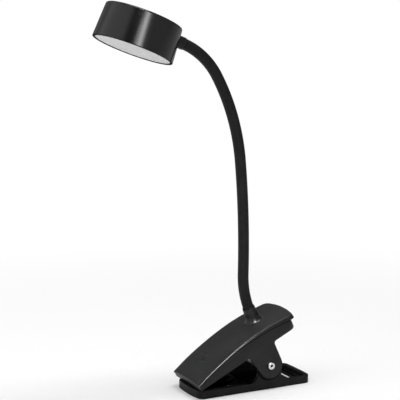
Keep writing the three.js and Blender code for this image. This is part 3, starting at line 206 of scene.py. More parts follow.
def boss_matrix():
    """The frame of the neck's boss: z = 0 at its top, z along the neck as it leaves."""
    lean = -bow_slope(CROWN, BOSS_FROM_NOSE)
    surface = bow_height(CROWN, BOSS_FROM_NOSE) + COVER_DOME
    top_x = BOSS_FROM_NOSE + BOSS_HEIGHT * math.sin(lean)
    top_z = surface + BOSS_HEIGHT * math.cos(lean)
    return JAW_TO_WORLD @ Matrix.Translation((top_x, 0, top_z)) @ Matrix.Rotation(lean, 4, "Y")


BOSS_TO_WORLD = boss_matrix()


def neck_at(distance):
    """Place and heading of the neck's centreline, in the boss's frame."""
    if distance < 0:
        return 0.0, distance, 0.0
    x = z = heading = 0.0
    left = distance
    for length, turn in NECK_BENDS:
        run = min(left, length)
        turn_by = math.radians(turn) * run / length
        chord = run if abs(turn_by) < TINY else 2 * (run / turn_by) * math.sin(turn_by / 2)
        x -= chord * math.sin(heading + turn_by / 2)
        z += chord * math.cos(heading + turn_by / 2)
        heading += turn_by
        left -= run
    return x - left * math.sin(heading), z + left * math.cos(heading), heading


SLEEVE_END = sum(length for length, _ in NECK_BENDS)
NECK_LENGTH = SLEEVE_END + FITTING_SEEN
JOINT_PITCH = (SLEEVE_END - 2 * END_LENGTH) / (BEND_COUNT - 1)


def neck_matrix(distance):
    """A frame on the neck: z along it."""
    x, z, heading = neck_at(distance)
    return BOSS_TO_WORLD @ Matrix.Translation((x, 0, z)) @ Matrix.Rotation(-heading, 4, "Y")


def head_matrix():
    """The head's frame: z = 0 at its lower rim, and the neck comes in along -X at +X."""
    wall_radius = HEAD_RADIUS - math.tan(HEAD_DRAFT) * HEAD_NECK_HEIGHT
    return (
        neck_matrix(NECK_LENGTH)
        @ Matrix.Rotation(math.pi / 2, 4, "Y")
        @ Matrix.Translation((-wall_radius, 0, -HEAD_NECK_HEIGHT))
    )


HEAD_TO_WORLD = head_matrix()

# ---------- mesh helpers ----------


def mesh_object(name, shape, material, matrix=None):
    """An object of (verts, faces), moved by the matrix."""
    verts, faces = shape
    mesh = bpy.data.meshes.new(name)
    mesh.from_pydata([tuple(v) for v in verts], [], faces)
    mesh.update()
    if matrix is not None:
        mesh.transform(matrix)
    obj = bpy.data.objects.new(name, mesh)
    bpy.context.scene.collection.objects.link(obj)
    obj.data.materials.append(material)
    return obj


def closed_object(name, shape, material, matrix=None):
    """A mesh object whose faces all turn outwards."""
    obj = mesh_object(name, shape, material, matrix)
    mesh = bmesh.new()
    mesh.from_mesh(obj.data)
    bmesh.ops.recalc_face_normals(mesh, faces=mesh.faces)
    mesh.to_mesh(obj.data)
    mesh.free()
    return obj


def soften(obj, angle=40):
    """Smooth shading, with edges sharper than the angle kept."""
    for polygon in obj.data.polygons:
        polygon.use_smooth = True
    obj.data.set_sharp_from_angle(angle=math.radians(angle))
    return obj


def join(obj, tool):
    """Makes one solid of obj and the tool, which is then gone."""
    modifier = obj.modifiers.new("solid", "BOOLEAN")
    modifier.operation = "UNION"
    modifier.solver = "EXACT"
    modifier.object = tool
    graph = bpy.context.evaluated_depsgraph_get()
    joined = bpy.data.meshes.new_from_object(obj.evaluated_get(graph))
    before = obj.data
    obj.modifiers.clear()
    obj.data = joined
    bpy.data.meshes.remove(before)
    bpy.data.objects.remove(tool)


def circle(radius, sides):
    """Points round a circle, as (x, y)."""
    angles = [2 * math.pi * i / sides for i in range(sides)]
    return [(radius * math.cos(angle), radius * math.sin(angle)) for angle in angles]


def lathe(profile, sides, close=False):
    """A profile of (radius, height) points turned about z, as (verts, faces).

    Radius 0 meets the axis, and close joins the last point to the first.
    """
    verts, rings = [], []
    for radius, height in profile:
        if radius < TINY:
            rings.append([len(verts)] * sides)
            verts.append((0, 0, height))
            continue
        rings.append(list(range(len(verts), len(verts) + sides)))
        verts += [(x, y, height) for x, y in circle(radius, sides)]
    pairs = list(zip(rings, rings[1:]))
    if close:
        pairs.append((rings[-1], rings[0]))
    faces = []
    for low, high in pairs:
        for i in range(sides):
            j = (i + 1) % sides
            corners = [low[i], low[j], high[j], high[i]]
            face = [c for k, c in enumerate(corners) if c != corners[k - 1]]
            if len(face) >= 3:
                faces.append(face)
    return verts, faces


def rounded_profile(corners, steps):
    """The points of a profile of (radius, height, rounding) corners."""
    profile = []
    for i, (*point, rounding) in enumerate(corners):
        corner = Vector(point)
        if rounding <= 0 or i in (0, len(corners) - 1):
            profile.append(tuple(corner))
            continue
        before = (Vector(corners[i - 1][:2]) - corner).normalized()
        after = (Vector(corners[i + 1][:2]) - corner).normalized()
        setback = rounding / math.tan(before.angle(after) / 2)
        start, end = corner + before * setback, corner + after * setback
        for k in range(steps + 1):
            share = k / steps
            blend = start.lerp(corner, share).lerp(corner.lerp(end, share), share)
            profile.append(tuple(blend))
    return profile


def tube(stations, outer, inner, sides, matrix_at):
    """A pipe with flat ends along matrix_at(distance), as (verts, faces)."""
    verts = []
    for distance in stations:
        matrix = matrix_at(distance)
        for radius in (outer, inner):
            verts += [matrix @ Vector((x, y, 0)) for x, y in circle(radius, sides)]
    faces = []
    ring = 2 * sides
    for k in range(len(stations) - 1):
        low, high = k * ring, (k + 1) * ring
        for i in range(sides):
            j = (i + 1) % sides
            faces.append((low + i, low + j, high + j, high + i))
            faces.append((low + sides + j, low + sides + i, high + sides + i, high + sides + j))
    last = (len(stations) - 1) * ring
    for i in range(sides):
        j = (i + 1) % sides
        faces.append((i, sides + i, sides + j, j))
        faces.append((last + j, last + sides + j, last + sides + i, last + i))
    return verts, faces


def wire_tube(points, radius, sides):
    """A round wire along points, with closed ends, as (verts, faces)."""
    verts, faces = [], []
    count = len(points)
    tangent = (points[1] - points[0]).normalized()
    side = tangent.orthogonal().normalized()
    for k, point in enumerate(points):
        ahead = points[min(k + 1, count - 1)] - points[max(k - 1, 0)]
        turn = tangent.rotation_difference(ahead.normalized())
        side = (turn @ side).normalized()
        tangent = ahead.normalized()
        other = tangent.cross(side)
        verts += [point + radius * (x * side + y * other) for x, y in circle(1, sides)]
    for k in range(count - 1):
        low, high = k * sides, (k + 1) * sides
        for i in range(sides):
            j = (i + 1) % sides
            faces.append((low + i, low + j, high + j, high + i))
    faces.append(tuple(reversed(range(sides))))
    faces.append(tuple(range((count - 1) * sides, count * sides)))
    return verts, faces


# ---------- material helpers ----------


def new_material(name):
    """A material, with its node tree and its shader."""
    material = bpy.data.materials.new(name)
    material.use_nodes = True
    return material, material.node_tree, material.node_tree.nodes["Principled BSDF"]


def feed(tree, value, socket):
    """Gives the socket a number, or the output of another node."""
    if isinstance(value, (int, float)):
        socket.default_value = value
    else:
        tree.links.new(value, socket)


def place(tree, kind="Object"):
    """The place on the object in its own frame, or as another kind of coordinates."""
    return tree.nodes.new("ShaderNodeTexCoord").outputs[kind]


def axes(tree, source):
    """The x, y and z of a vector."""
    split = tree.nodes.new("ShaderNodeSeparateXYZ")
    tree.links.new(source, split.inputs[0])
    return tuple(split.outputs)


def normal_axes(tree):
    return axes(tree, tree.nodes.new("ShaderNodeNewGeometry").outputs["Normal"])


def maths(tree, operation, first, second=0.0):
    node = tree.nodes.new("ShaderNodeMath")
    node.operation = operation
    feed(tree, first, node.inputs[0])
    feed(tree, second, node.inputs[1])
    return node.outputs[0]


def product(tree, first, *others):
    for other in others:
        first = maths(tree, "MULTIPLY", first, other)
    return first


def vector_maths(tree, operation, source, other=None):
    node = tree.nodes.new("ShaderNodeVectorMath")
    node.operation = operation
    tree.links.new(source, node.inputs[0])
    if other is not None:
        node.inputs[1].default_value = other
    return node.outputs["Value"]


def eased(tree, source, span, values=(0.0, 1.0)):
    """Runs the source over the span from one value to the other, smoothly."""
    node = tree.nodes.new("ShaderNodeMapRange")
    node.interpolation_type = "SMOOTHSTEP"
    node.inputs["From Min"].default_value, node.inputs["From Max"].default_value = span
    node.inputs["To Min"].default_value, node.inputs["To Max"].default_value = values
    tree.links.new(source, node.inputs["Value"])
    return node.outputs["Result"]


def spread(tree, source, low, high):
    """Runs the source from 0..1 to low..high."""
    node = tree.nodes.new("ShaderNodeMapRange")
    node.inputs["To Min"].default_value = low
    node.inputs["To Max"].default_value = high
    tree.links.new(source, node.inputs["Value"])
    return node.outputs["Result"]


RAMP_SPAN = (0.35, 0.65)  # the middle of a noise, where most of it lies


def ramp(tree, source, *colours):
    """Runs the source through two colours."""
    node = tree.nodes.new("ShaderNodeValToRGB")
    for stop, position, colour in zip(node.color_ramp.elements, RAMP_SPAN, colours):
        stop.position = position
        stop.color = (*colour, 1)
    tree.links.new(source, node.inputs["Fac"])
    return node.outputs["Color"]


def place_noise(tree, scale, detail, stretch=(1, 1, 1)):
    """A noise in the object's own frame, in metres."""
    mapping = tree.nodes.new("ShaderNodeMapping")
    mapping.inputs["Scale"].default_value = stretch
    noise = tree.nodes.new("ShaderNodeTexNoise")
    noise.inputs["Scale"].default_value = scale
    noise.inputs["Detail"].default_value = detail
    tree.links.new(place(tree), mapping.inputs["Vector"])
    tree.links.new(mapping.outputs["Vector"], noise.inputs["Vector"])
    return noise.outputs["Fac"]


def shades(colour, *factors):
    return [tuple(min(1, c * factor) for c in colour) for factor in factors]


def vary(tree, shader, source, colours, roughness):
    """A colour and a roughness that follow the source, each between its two values."""
    tree.links.new(ramp(tree, source, *colours), shader.inputs["Base Color"])
    tree.links.new(spread(tree, source, *roughness), shader.inputs["Roughness"])


def bump(tree, shader, source, strength, depth):
    node = tree.nodes.new("ShaderNodeBump")
    node.inputs["Strength"].default_value = strength
    node.inputs["Distance"].default_value = depth
    tree.links.new(source, node.inputs["Height"])
    tree.links.new(node.outputs["Normal"], shader.inputs["Normal"])


# ---------- materials ----------


def moulded(name, colour, roughness, grain, specular):
    """Moulded plastic: a fine spark-eroded grain, and a slow drift in tone and gloss."""
    material, tree, shader = new_material(name)
    drift = place_noise(tree, scale=60, detail=3)
    fine = place_noise(tree, scale=2600, detail=2)
    vary(tree, shader, drift, shades(colour, 0.86, 1.14), (roughness - 0.04, roughness + 0.04))
    shader.inputs["Specular IOR Level"].default_value = specular
    bump(tree, shader, fine, strength=grain, depth=0.06 * MM)
    return material


def rubber(name, colour, roughness):
    """Silicone or rubber: matt, a little uneven, with little shine."""
    material, tree, shader = new_material(name)
    drift = place_noise(tree, scale=90, detail=4)
    fine = place_noise(tree, scale=1800, detail=3)
    vary(tree, shader, drift, shades(colour, 0.8, 1.25), (roughness - 0.05, roughness + 0.05))
    shader.inputs["Specular IOR Level"].default_value = 0.15
    bump(tree, shader, fine, strength=0.12, depth=0.05 * MM)
    return material


def metal(name, colour, roughness, stretch=(1, 1, 1)):
    """Plated or drawn steel, with fine lines along the stretch."""
    material, tree, shader = new_material(name)
    lines = place_noise(tree, scale=900, detail=4, stretch=stretch)
    shader.inputs["Metallic"].default_value = 1
    vary(tree, shader, lines, shades(colour, 0.88, 1), (roughness - 0.05, roughness + 0.07))
    bump(tree, shader, lines, strength=0.08, depth=0.03 * MM)
    return material


def opal(name, *colours):
    """The diffuser: milky plastic whose lower face has fine ribs."""
    material, tree, shader = new_material(name)
    wave = tree.nodes.new("ShaderNodeTexWave")
    wave.bands_direction = "Y"
    wave.inputs["Scale"].default_value = 160
    wave.inputs["Distortion"].default_value = 0.4
    wave.inputs["Detail"].default_value = 1
    tree.links.new(place(tree), wave.inputs["Vector"])
    drift = place_noise(tree, scale=40, detail=3)
    tree.links.new(ramp(tree, drift, *colours), shader.inputs["Base Color"])
    shader.inputs["Roughness"].default_value = 0.45
    shader.inputs["Subsurface Weight"].default_value = 0.15
    shader.inputs["Subsurface Radius"].default_value = (4 * MM, 4 * MM, 4 * MM)
    bump(tree, shader, wave.outputs["Fac"], strength=0.08, depth=0.12 * MM)
    return material


def circuit_board(name, colour):
    """Solder mask with a pattern of tracks a shade lighter."""
    material, tree, shader = new_material(name)
    bricks = tree.nodes.new("ShaderNodeTexBrick")
    bricks.inputs["Scale"].default_value = 300
    bricks.inputs["Mortar Size"].default_value = 0.03
    for socket, shade in zip(("Color1", "Color2", "Mortar"), shades(colour, 1, 0.8, 1.5)):
        bricks.inputs[socket].default_value = (*shade, 1)
    tree.links.new(place(tree), bricks.inputs["Vector"])
    tree.links.new(bricks.outputs["Color"], shader.inputs["Base Color"])
    shader.inputs["Roughness"].default_value = 0.4
    return material


# Where the painted shades and the rougher grain below start and end.
TRAY_SIDE = (20.2 * MM, 20.6 * MM)  # from the middle plane
TRAY_END = (52.5 * MM, 53.5 * MM)
TRAY_DEPTH = (4.6 * MM, 5.8 * MM)
RIB_TOPS = (6.2 * MM, 6.6 * MM)
RAIL_TOPS = (7.2 * MM, 7.6 * MM)
# how dark the painted shade on the rails' tops is
PAINTED_RAIL_SHADE = 0.85
# where the painted shadow line round each ear's foot fades out
EAR_SHADOW_LINE = (EAR_RADIUS + 2.1 * MM, EAR_RADIUS + 2.6 * MM)
# where the painted shadow line round the rivet's head fades out
RIVET_SHADOW_LINE = (PIN_HEAD_RADIUS + 1 * MM, PIN_HEAD_RADIUS + 1.4 * MM)
HOLLOW_EDGE = (PIN_HOLLOW_RADIUS - 0.3 * MM, PIN_HOLLOW_RADIUS)
# how dark the painted shade inside the rivet's hollow is
PAINTED_HOLLOW_SHADE = 0.9
LEVEL = (0.7, 0.95)  # how much of a level face's normal points up
SIDEWAYS = (0.12, 0.2)  # how much of an edge's normal points sideways

# the colour of the painted shade, which the masks below darken a surface towards
PAINTED_SHADE = (0.0008, 0.0008, 0.0008)


def from_pivot(tree, x, z):
    """Distance from the hinge's axis."""
    across = maths(tree, "POWER", maths(tree, "SUBTRACT", x, PIVOT.x), 2)
    above = maths(tree, "POWER", maths(tree, "SUBTRACT", z, PIVOT.z), 2)
    return maths(tree, "SQRT", maths(tree, "ADD", across, above))


def with_painted_shade(material, painted_shade_of):
    """The material, darkened towards a painted shade colour where the given mask says."""
    tree = material.node_tree
    colour = tree.nodes["Principled BSDF"].inputs["Base Color"]
    dim = tree.nodes.new("ShaderNodeMix")
    dim.data_type = "RGBA"
    dim.inputs["B"].default_value = (*PAINTED_SHADE, 1)
    tree.links.new(painted_shade_of(tree, *axes(tree, place(tree))), dim.inputs["Factor"])
    tree.links.new(colour.links[0].from_socket, dim.inputs["A"])
    tree.links.new(dim.outputs["Result"], colour)
    return material


def painted_jaw_shade(tree, x, y, z):
    """Painted shade: inside the tray, on the rails' tops, and a painted shadow line round each ear's foot."""
    along, across = maths(tree, "ABSOLUTE", x), maths(tree, "ABSOLUTE", y)
    within = eased(tree, across, TRAY_SIDE, (1, 0))
    between_ends = eased(tree, along, TRAY_END, (1, 0))
    # painted shade deep inside the tray, where little light reaches
    tray = product(tree, within, between_ends, eased(tree, z, TRAY_DEPTH, (1, 0)))
    # painted shade on the level tops of the rails, with the rib tops left out
    below_rails = eased(tree, z, RAIL_TOPS, (1, 0))
    above_ribs = eased(tree, z, RIB_TOPS, (0, PAINTED_RAIL_SHADE))
    level = eased(tree, normal_axes(tree)[2], LEVEL)
    tops = product(tree, below_rails, above_ribs, level)
    # a painted shadow line on the jaw's outer sides, just outside each ear
    near_ear = eased(tree, from_pivot(tree, x, z), EAR_SHADOW_LINE, (1, 0))
    line = product(tree, near_ear, eased(tree, across, TRAY_SIDE))
    return maths(tree, "MAXIMUM", maths(tree, "MAXIMUM", tray, tops), line)


def painted_rivet_ring_shade(tree, x, y, z):
    """A painted shadow: a thin dark line on the ears round each end of the rivet."""
    return eased(tree, from_pivot(tree, x, z), RIVET_SHADOW_LINE, (1, 0))


def painted_hollow_shade(tree, x, y, z):
    """Painted shade inside the rivet's hollow end."""
    return eased(tree, from_pivot(tree, x, z), HOLLOW_EDGE, (PAINTED_HOLLOW_SHADE, 0))


def cover_plastic(name, colour, roughness, grain, specular, rough_top):
    """Moulded plastic whose level faces have a rougher grain than its edges."""
    material = moulded(name, colour, roughness, grain, specular)
    tree = material.node_tree
    gloss = tree.nodes["Principled BSDF"].inputs["Roughness"]
    sideways = maths(tree, "ABSOLUTE", normal_axes(tree)[1])
    added = eased(tree, sideways, SIDEWAYS, (rough_top - roughness, 0))
    tree.links.new(maths(tree, "ADD", gloss.links[0].from_socket, added), gloss)
    return material


CASE = cover_plastic(
    "case_plastic",
    (0.0128, 0.0128, 0.0132),
    roughness=0.26,
    grain=0.22,
    specular=0.35,
    rough_top=0.42,
)
# the jaw's plastic, with painted shade inside its tray, on its rails' tops and round the ears
JAW_CASE = with_painted_shade(
    moulded("jaw_plastic", (0.0155, 0.0155, 0.016), roughness=0.42, grain=0.3, specular=0.08),
    painted_jaw_shade,
)
HEAD_CASE = moulded(
    "head_plastic", (0.0085, 0.0085, 0.0088), roughness=0.19, grain=0.05, specular=0.45
)
HEAD_LIP = moulded("lip_plastic", (0.005, 0.005, 0.0052), roughness=0.8, grain=0.1, specular=0.03)
FITTING = moulded(
    "fitting_plastic", (0.011, 0.011, 0.0112), roughness=0.4, grain=0.1, specular=0.2
)
# the shell's plastic, with a painted shadow line round the rivet's head
SHELL_CASE = with_painted_shade(
    moulded("shell_plastic", (0.0145, 0.0145, 0.015), roughness=0.36, grain=0.3, specular=0.22),
    painted_rivet_ring_shade,
)
SLEEVE = rubber("sleeve_silicone", (0.0108, 0.0108, 0.011), roughness=0.5)
SEAL = rubber("seal_rubber", (0.003, 0.003, 0.003), roughness=0.85)
PAD = rubber("pad_rubber", (0.008, 0.008, 0.008), roughness=0.75)
FOAM = rubber("foam", (0.09, 0.09, 0.095), roughness=0.9)
BRIGHT = metal("plated_steel", (0.74, 0.74, 0.73), roughness=0.2)
# the rivet's steel, with painted shade inside its hollow
RIVET = with_painted_shade(metal("rivet_steel", (0.74, 0.74, 0.73), roughness=0.24), painted_hollow_shade)
SPRING = metal("spring_wire", (0.5, 0.5, 0.49), roughness=0.3, stretch=(1, 0.2, 1))
FOIL = metal("cell_foil", (0.6, 0.62, 0.64), roughness=0.35)
COPPER = metal("copper_foil", (0.72, 0.42, 0.26), roughness=0.3)
OPAL = opal("opal_diffuser", (0.7, 0.7, 0.695), (0.78, 0.78, 0.775))
BOARD = circuit_board("board_mask", (0.02, 0.12, 0.05))
LED_PLATE = circuit_board("led_plate_mask", (0.72, 0.72, 0.7))

# ---------- the CAD nodes ----------

# The material of each slot, and of the two nodes that differ from their slot's.
CAD_MATERIALS = {
    "case": CASE,
    "head_case": HEAD_CASE,
    "fitting_black": FITTING,
    "grip_rubber": PAD,
    "sleeve": SLEEVE,
    "lead": SLEEVE,
    "bright_steel": BRIGHT,
    "spring_steel": SPRING,
    "cell_foil": FOIL,
    "foam": FOAM,
    "board": BOARD,
    "copper": COPPER,
    "led_plate": LED_PLATE,
    "opal": OPAL,
}
NODE_MATERIALS = {"lower_jaw": JAW_CASE, "upper_shell": SHELL_CASE}

# The CAD nodes that show, with the width of their eased edges.
EASED_NODES = {
    "upper_shell": 0.35 * MM,
    "lower_jaw": 0.4 * MM,
    "upper_pad": 0.2 * MM,
    "lower_pad": 0.2 * MM,
    "charging_inlet": 0.1 * MM,
    "lower_fitting": 0.1 * MM,
}
WELD_DISTANCE = 0.004 * MM
FLAT_ANGLE = math.radians(0.6)  # faces this close to one plane become one
SHARP_ANGLE = math.radians(38)  # edges sharper than this are rounded


def ease(node, width):
    """Welds the node's seams, joins its flat faces, rounds its sharp edges and shades it smooth."""
    for polygon in node.data.polygons:
        polygon.use_smooth = True
    weld = node.modifiers.new("weld", "WELD")
    weld.merge_threshold = WELD_DISTANCE
    flats = node.modifiers.new("flats", "DECIMATE")
    flats.decimate_type = "DISSOLVE"
    flats.angle_limit = FLAT_ANGLE
    edges = node.modifiers.new("edges", "BEVEL")
    edges.width = width
    edges.segments = 3
    edges.limit_method = "ANGLE"
    edges.angle_limit = SHARP_ANGLE
    edges.miter_outer = "MITER_ARC"
    edges.harden_normals = True


def dress_cad_nodes():
    """Each CAD node takes its slot's material, and those that show have their edges eased."""
    for entry in frame["record"]["subparts"]:
        name = entry["node"]
        node = NODES[name]
        node.data.materials.clear()
        slot_material = CAD_MATERIALS[entry["material_slot"]]
        node.data.materials.append(NODE_MATERIALS.get(name, slot_material))
        if name in EASED_NODES:
            ease(node, EASED_NODES[name])


# ---------- the clamp's cover ----------


def share_of(x, length):
    """How much of the length x has passed, from 0 to 1."""
    return min(1.0, max(0.0, x / length))


def tail_setback(y, half, corner):
    """How far the bowed tail lies ahead of COVER_END, at y."""
    into_corner = max(0.0, abs(y) - (half - corner))
    setback = corner - math.sqrt(max(0.0, corner**2 - into_corner**2))
    return TAIL_BOW * (y / half) ** 2 + setback


def cover_half(x):
    at_nose, at_tail = COVER_SIDES
    return SHELL_HALF + at_nose + (at_tail - at_nose) * share_of(x, BELLY_LENGTH)


def seam_height(x):
    return bow_height(SEAM, min(x, BELLY_LENGTH))


def cover_height(x, y, half, end_x):
    """The outer surface: a dome, lowered by the chamfer, the rounded lip and the dimple."""
    crown = bow_height(CROWN, x) + COVER_DOME * (1 - (y / half) ** 2)
    at_nose, at_tail = CHAMFER_WIDTHS
    width = at_nose + (at_tail - at_nose) * share_of(x, CHAMFER_END)
    top = bow_height(CROWN, x) + COVER_DOME * (1 - (1 - width / half) ** 2)
    foot = seam_height(x) + CHAMFER_LIP
    inward = min(half - abs(y), end_x - x)
    side = foot + inward * (top - foot) / width
    meeting = max(0.0, CHAMFER_ROUND - abs(crown - side)) / CHAMFER_ROUND
    height = min(crown, side) - meeting**2 * CHAMFER_ROUND / 4
    into_lip = max(0.0, LIP_ROUND - inward)
    height -= (LIP_ROUND - math.sqrt(max(0.0, LIP_ROUND**2 - into_lip**2))) * LIP_FALL
    from_dimple = math.hypot(x - DIMPLE_FROM_NOSE, y) / DIMPLE_RADIUS
    if from_dimple < 1:
        height -= DIMPLE_DEPTH * (1 - from_dimple**2) ** 2
    return height


def cover_sheet(inset):
    """The top surface, moved in by inset, as a grid of points from nose to tail."""
    rows, columns = COVER_GRID
    tail_half = cover_half(COVER_END) - inset
    corner = TAIL_CORNER - inset
    start_x = -COVER_LIP + inset
    grid = []
    for row in range(rows + 1):
        line = []
        for column in range(columns + 1):
            across = math.sin(math.pi / 2 * (2 * column / columns - 1))
            end_x = COVER_END - inset - tail_setback(across * tail_half, tail_half, corner)
            x = start_x + (end_x - start_x) * math.sin(math.pi / 2 * row / rows)
            half = cover_half(x) - inset
            y = across * half
            height = cover_height(x, y, half, end_x) - inset
            line.append(Vector((x, y, max(height, seam_height(x) + GAP))))
        grid.append(line)
    return grid


def cover_plate():
    """A closed shell: the outer sheet, its rim at the seam, and the inner sheet."""
    rows, columns = COVER_GRID
    outer, inner = cover_sheet(0.0), cover_sheet(COVER_WALL)
    verts, index = [], {}

    def add(key, point):
        index[key] = len(verts)
        verts.append(point)

    rim = [(0, c) for c in range(columns)]
    rim += [(r, columns) for r in range(rows)]
    rim += [(rows, c) for c in range(columns, 0, -1)]
    rim += [(r, 0) for r in range(rows, 0, -1)]
    for r in range(rows + 1):
        for c in range(columns + 1):
            add(("outer", r, c), outer[r][c])
            add(("inner", r, c), inner[r][c])
    for r, c in rim:
        for kind, grid, above in (
            ("outer rim", outer, SEAM_GROOVE),
            ("inner rim", inner, GAP / 2),
        ):
            point = grid[r][c].copy()
            point.z = seam_height(outer[r][c].x) + above
            add((kind, r, c), point)
    faces = []
    for r in range(rows):
        for c in range(columns):
            corners = ((r, c), (r + 1, c), (r + 1, c + 1), (r, c + 1))
            faces.append([index[("outer", *corner)] for corner in corners])
            faces.append([index[("inner", *corner)] for corner in reversed(corners)])
    around = ("outer", "outer rim", "inner rim", "inner")
    for here, there in zip(rim, rim[1:] + rim[:1]):
        for low, high in zip(around, around[1:]):
            corners = ((low, *here), (low, *there), (high, *there), (high, *here))
            faces.append([index[corner] for corner in corners])
    return verts, faces


def boss_solid():
    """The flared boss with the neck's seat in it, sunk a little in the cover."""
    root_radius = BOSS_BASE_RADIUS + BOSS_SKIRT
    flare = BOSS_BASE_RADIUS - BOSS_TOP_RADIUS
    profile = [
        (0, -BOSS_HEIGHT - BOSS_ROOT),
        (root_radius, -BOSS_HEIGHT - BOSS_ROOT),
        (root_radius, -BOSS_HEIGHT - BOSS_SKIRT_DROP),
    ]
    for k in range(BOSS_FLARE_STEPS + 1):
        share = k / BOSS_FLARE_STEPS
        angle = math.radians(BOSS_FLARE_START - BOSS_FLARE_SWEEP * k / BOSS_FLARE_STEPS)
        rise = BOSS_FLARE_STRETCH * (flare + flare * math.sin(angle))
        sunk = BOSS_FOOT_SUNK * (1 - share)
        profile.append((BOSS_BASE_RADIUS + flare * math.cos(angle), -BOSS_HEIGHT + rise - sunk))
    rim = [
        (*profile[-1], 0),
        (BOSS_TOP_RADIUS - 0.3 * MM, BOSS_RISE, 0.45 * MM),
        (SLEEVE_RADIUS + GAP, BOSS_RISE, 0.15 * MM),
        (SLEEVE_RADIUS + GAP, -BOSS_SEAT_DEPTH, 0),
        (0, -BOSS_SEAT_DEPTH, 0),
    ]
    return lathe(profile + rounded_profile(rim, steps=4)[1:], sides=96)


def seal_ring():
    """The narrow rubber ring between the boss's rim and the sleeve."""
    inside = SLEEVE_RADIUS + SEAL_SLACK
    outline = [
        (inside, BOSS_RISE + SEAL_SLACK, 0),
        (SEAL_RADIUS, BOSS_RISE + SEAL_SLACK, 0.1 * MM),
        (SEAL_RADIUS, BOSS_RISE + SEAL_HEIGHT, 0.2 * MM),
        (inside, BOSS_RISE + SEAL_HEIGHT, 0),
    ]
    return lathe(rounded_profile(outline, steps=3), sides=72, close=True)


def make_cover():
    cover = closed_object("clamp_cover", cover_plate(), CASE, JAW_TO_WORLD)
    boss = closed_object("boss_tool", boss_solid(), CASE, BOSS_TO_WORLD)
    join(cover, boss)
    soften(cover, angle=38)
    seal = closed_object("boss_seal", seal_ring(), SEAL, BOSS_TO_WORLD)
    soften(seal)
    for obj in (cover, seal):
        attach(obj, "upper_jaw")
        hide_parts("top_cover")


# ---------- the hinge: spring and rivet ----------


def spring_points():
    """The wire's centreline: a leg on the tray's floor, the coil, and a leg under the upper jaw."""
    lower = Vector((LOWER_LEG_X - PIVOT.x, TRAY_FLOOR + GAP + WIRE_RADIUS - PIVOT.z))
    under = JAW_TO_WORLD @ Vector((BELLY_LENGTH - UPPER_LEG_FROM_TAIL, 0, -GAP - WIRE_RADIUS))
    upper = Vector((under.x - PIVOT.x, under.z - PIVOT.z))
    start = math.atan2(lower.y, lower.x) - math.acos(COIL_RADIUS / lower.length)
    end = math.atan2(upper.y, upper.x) + math.acos(COIL_RADIUS / upper.length)
    sweep = COIL_TURNS * 2 * math.pi + (start - end) % (2 * math.pi)
    half_width = sweep / (2 * math.pi) * (2 * WIRE_RADIUS + GAP) / 2

    def on_coil(share):
        angle = start - sweep * share
        x = PIVOT.x + COIL_RADIUS * math.cos(angle)
        z = PIVOT.z + COIL_RADIUS * math.sin(angle)
        return Vector((x, half_width * (2 * share - 1), z))

    first, last = on_coil(0), on_coil(1)
    lower_end = Vector((PIVOT.x + lower.x, first.y, PIVOT.z + lower.y))
    upper_end = Vector((under.x, last.y, under.z))
    points = [lower_end.lerp(first, k / LOWER_LEG_STEPS) for k in range(LOWER_LEG_STEPS)]
    points += [on_coil(k / COIL_STEPS) for k in range(COIL_STEPS + 1)]
    points += [last.lerp(upper_end, (k + 1) / UPPER_LEG_STEPS) for k in range(UPPER_LEG_STEPS)]
    return points, half_width


def make_spring():
    points, half_width = spring_points()
    spring = closed_object("hinge_spring", wire_tube(points, WIRE_RADIUS, sides=16), SPRING)
    soften(spring, angle=50)
    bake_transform(spring)
    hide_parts("torsion_spring")


def make_rivet():
    """A semi-tubular rivet: a plain head on one side, a flared and hollow end on the other."""
    face = SHELL_HALF + GAP
    end = face + PIN_HEAD_HEIGHT
    outline = [
        (0, -end + PIN_HOLLOW_DEPTH, 0),
        (PIN_HOLLOW_RADIUS * PIN_HOLLOW_TAPER, -end + PIN_HOLLOW_DEPTH, 0.2 * MM),
        (PIN_HOLLOW_RADIUS, -end, 0.5 * MM),
        (PIN_HEAD_RADIUS, -end, 0.5 * MM),
        (PIN_HEAD_RADIUS, -face, 0.1 * MM),
        (PIN_RADIUS, -face, 0),
        (PIN_RADIUS, face, 0),
        (PIN_HEAD_RADIUS, face, 0.1 * MM),
        (PIN_HEAD_RADIUS, end, 0.6 * MM),
        (0, end, 0),
    ]
    shape = lathe(rounded_profile(outline, steps=5), sides=72)
    along_y = Matrix.Translation(PIVOT) @ Matrix.Rotation(-math.pi / 2, 4, "X")
    rivet = soften(closed_object("hinge_rivet", shape, RIVET, along_y))
    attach(rivet, "lower_jaw")
    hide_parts("pivot_pin")


# ---------- the head ----------


def dull_lip(head):
    """The lip round the disc, which the mould leaves matt, takes a second material."""
    head.data.materials.append(HEAD_LIP)
    axis = HEAD_TO_WORLD.to_3x3() @ Vector((0, 0, 1))
    to_head = HEAD_TO_WORLD.inverted()
    for polygon in head.data.polygons:
        low = (to_head @ polygon.center).z < LIP_HEIGHT
        if low and polygon.normal.dot(axis) < LIP_FACING:
            polygon.material_index = 1


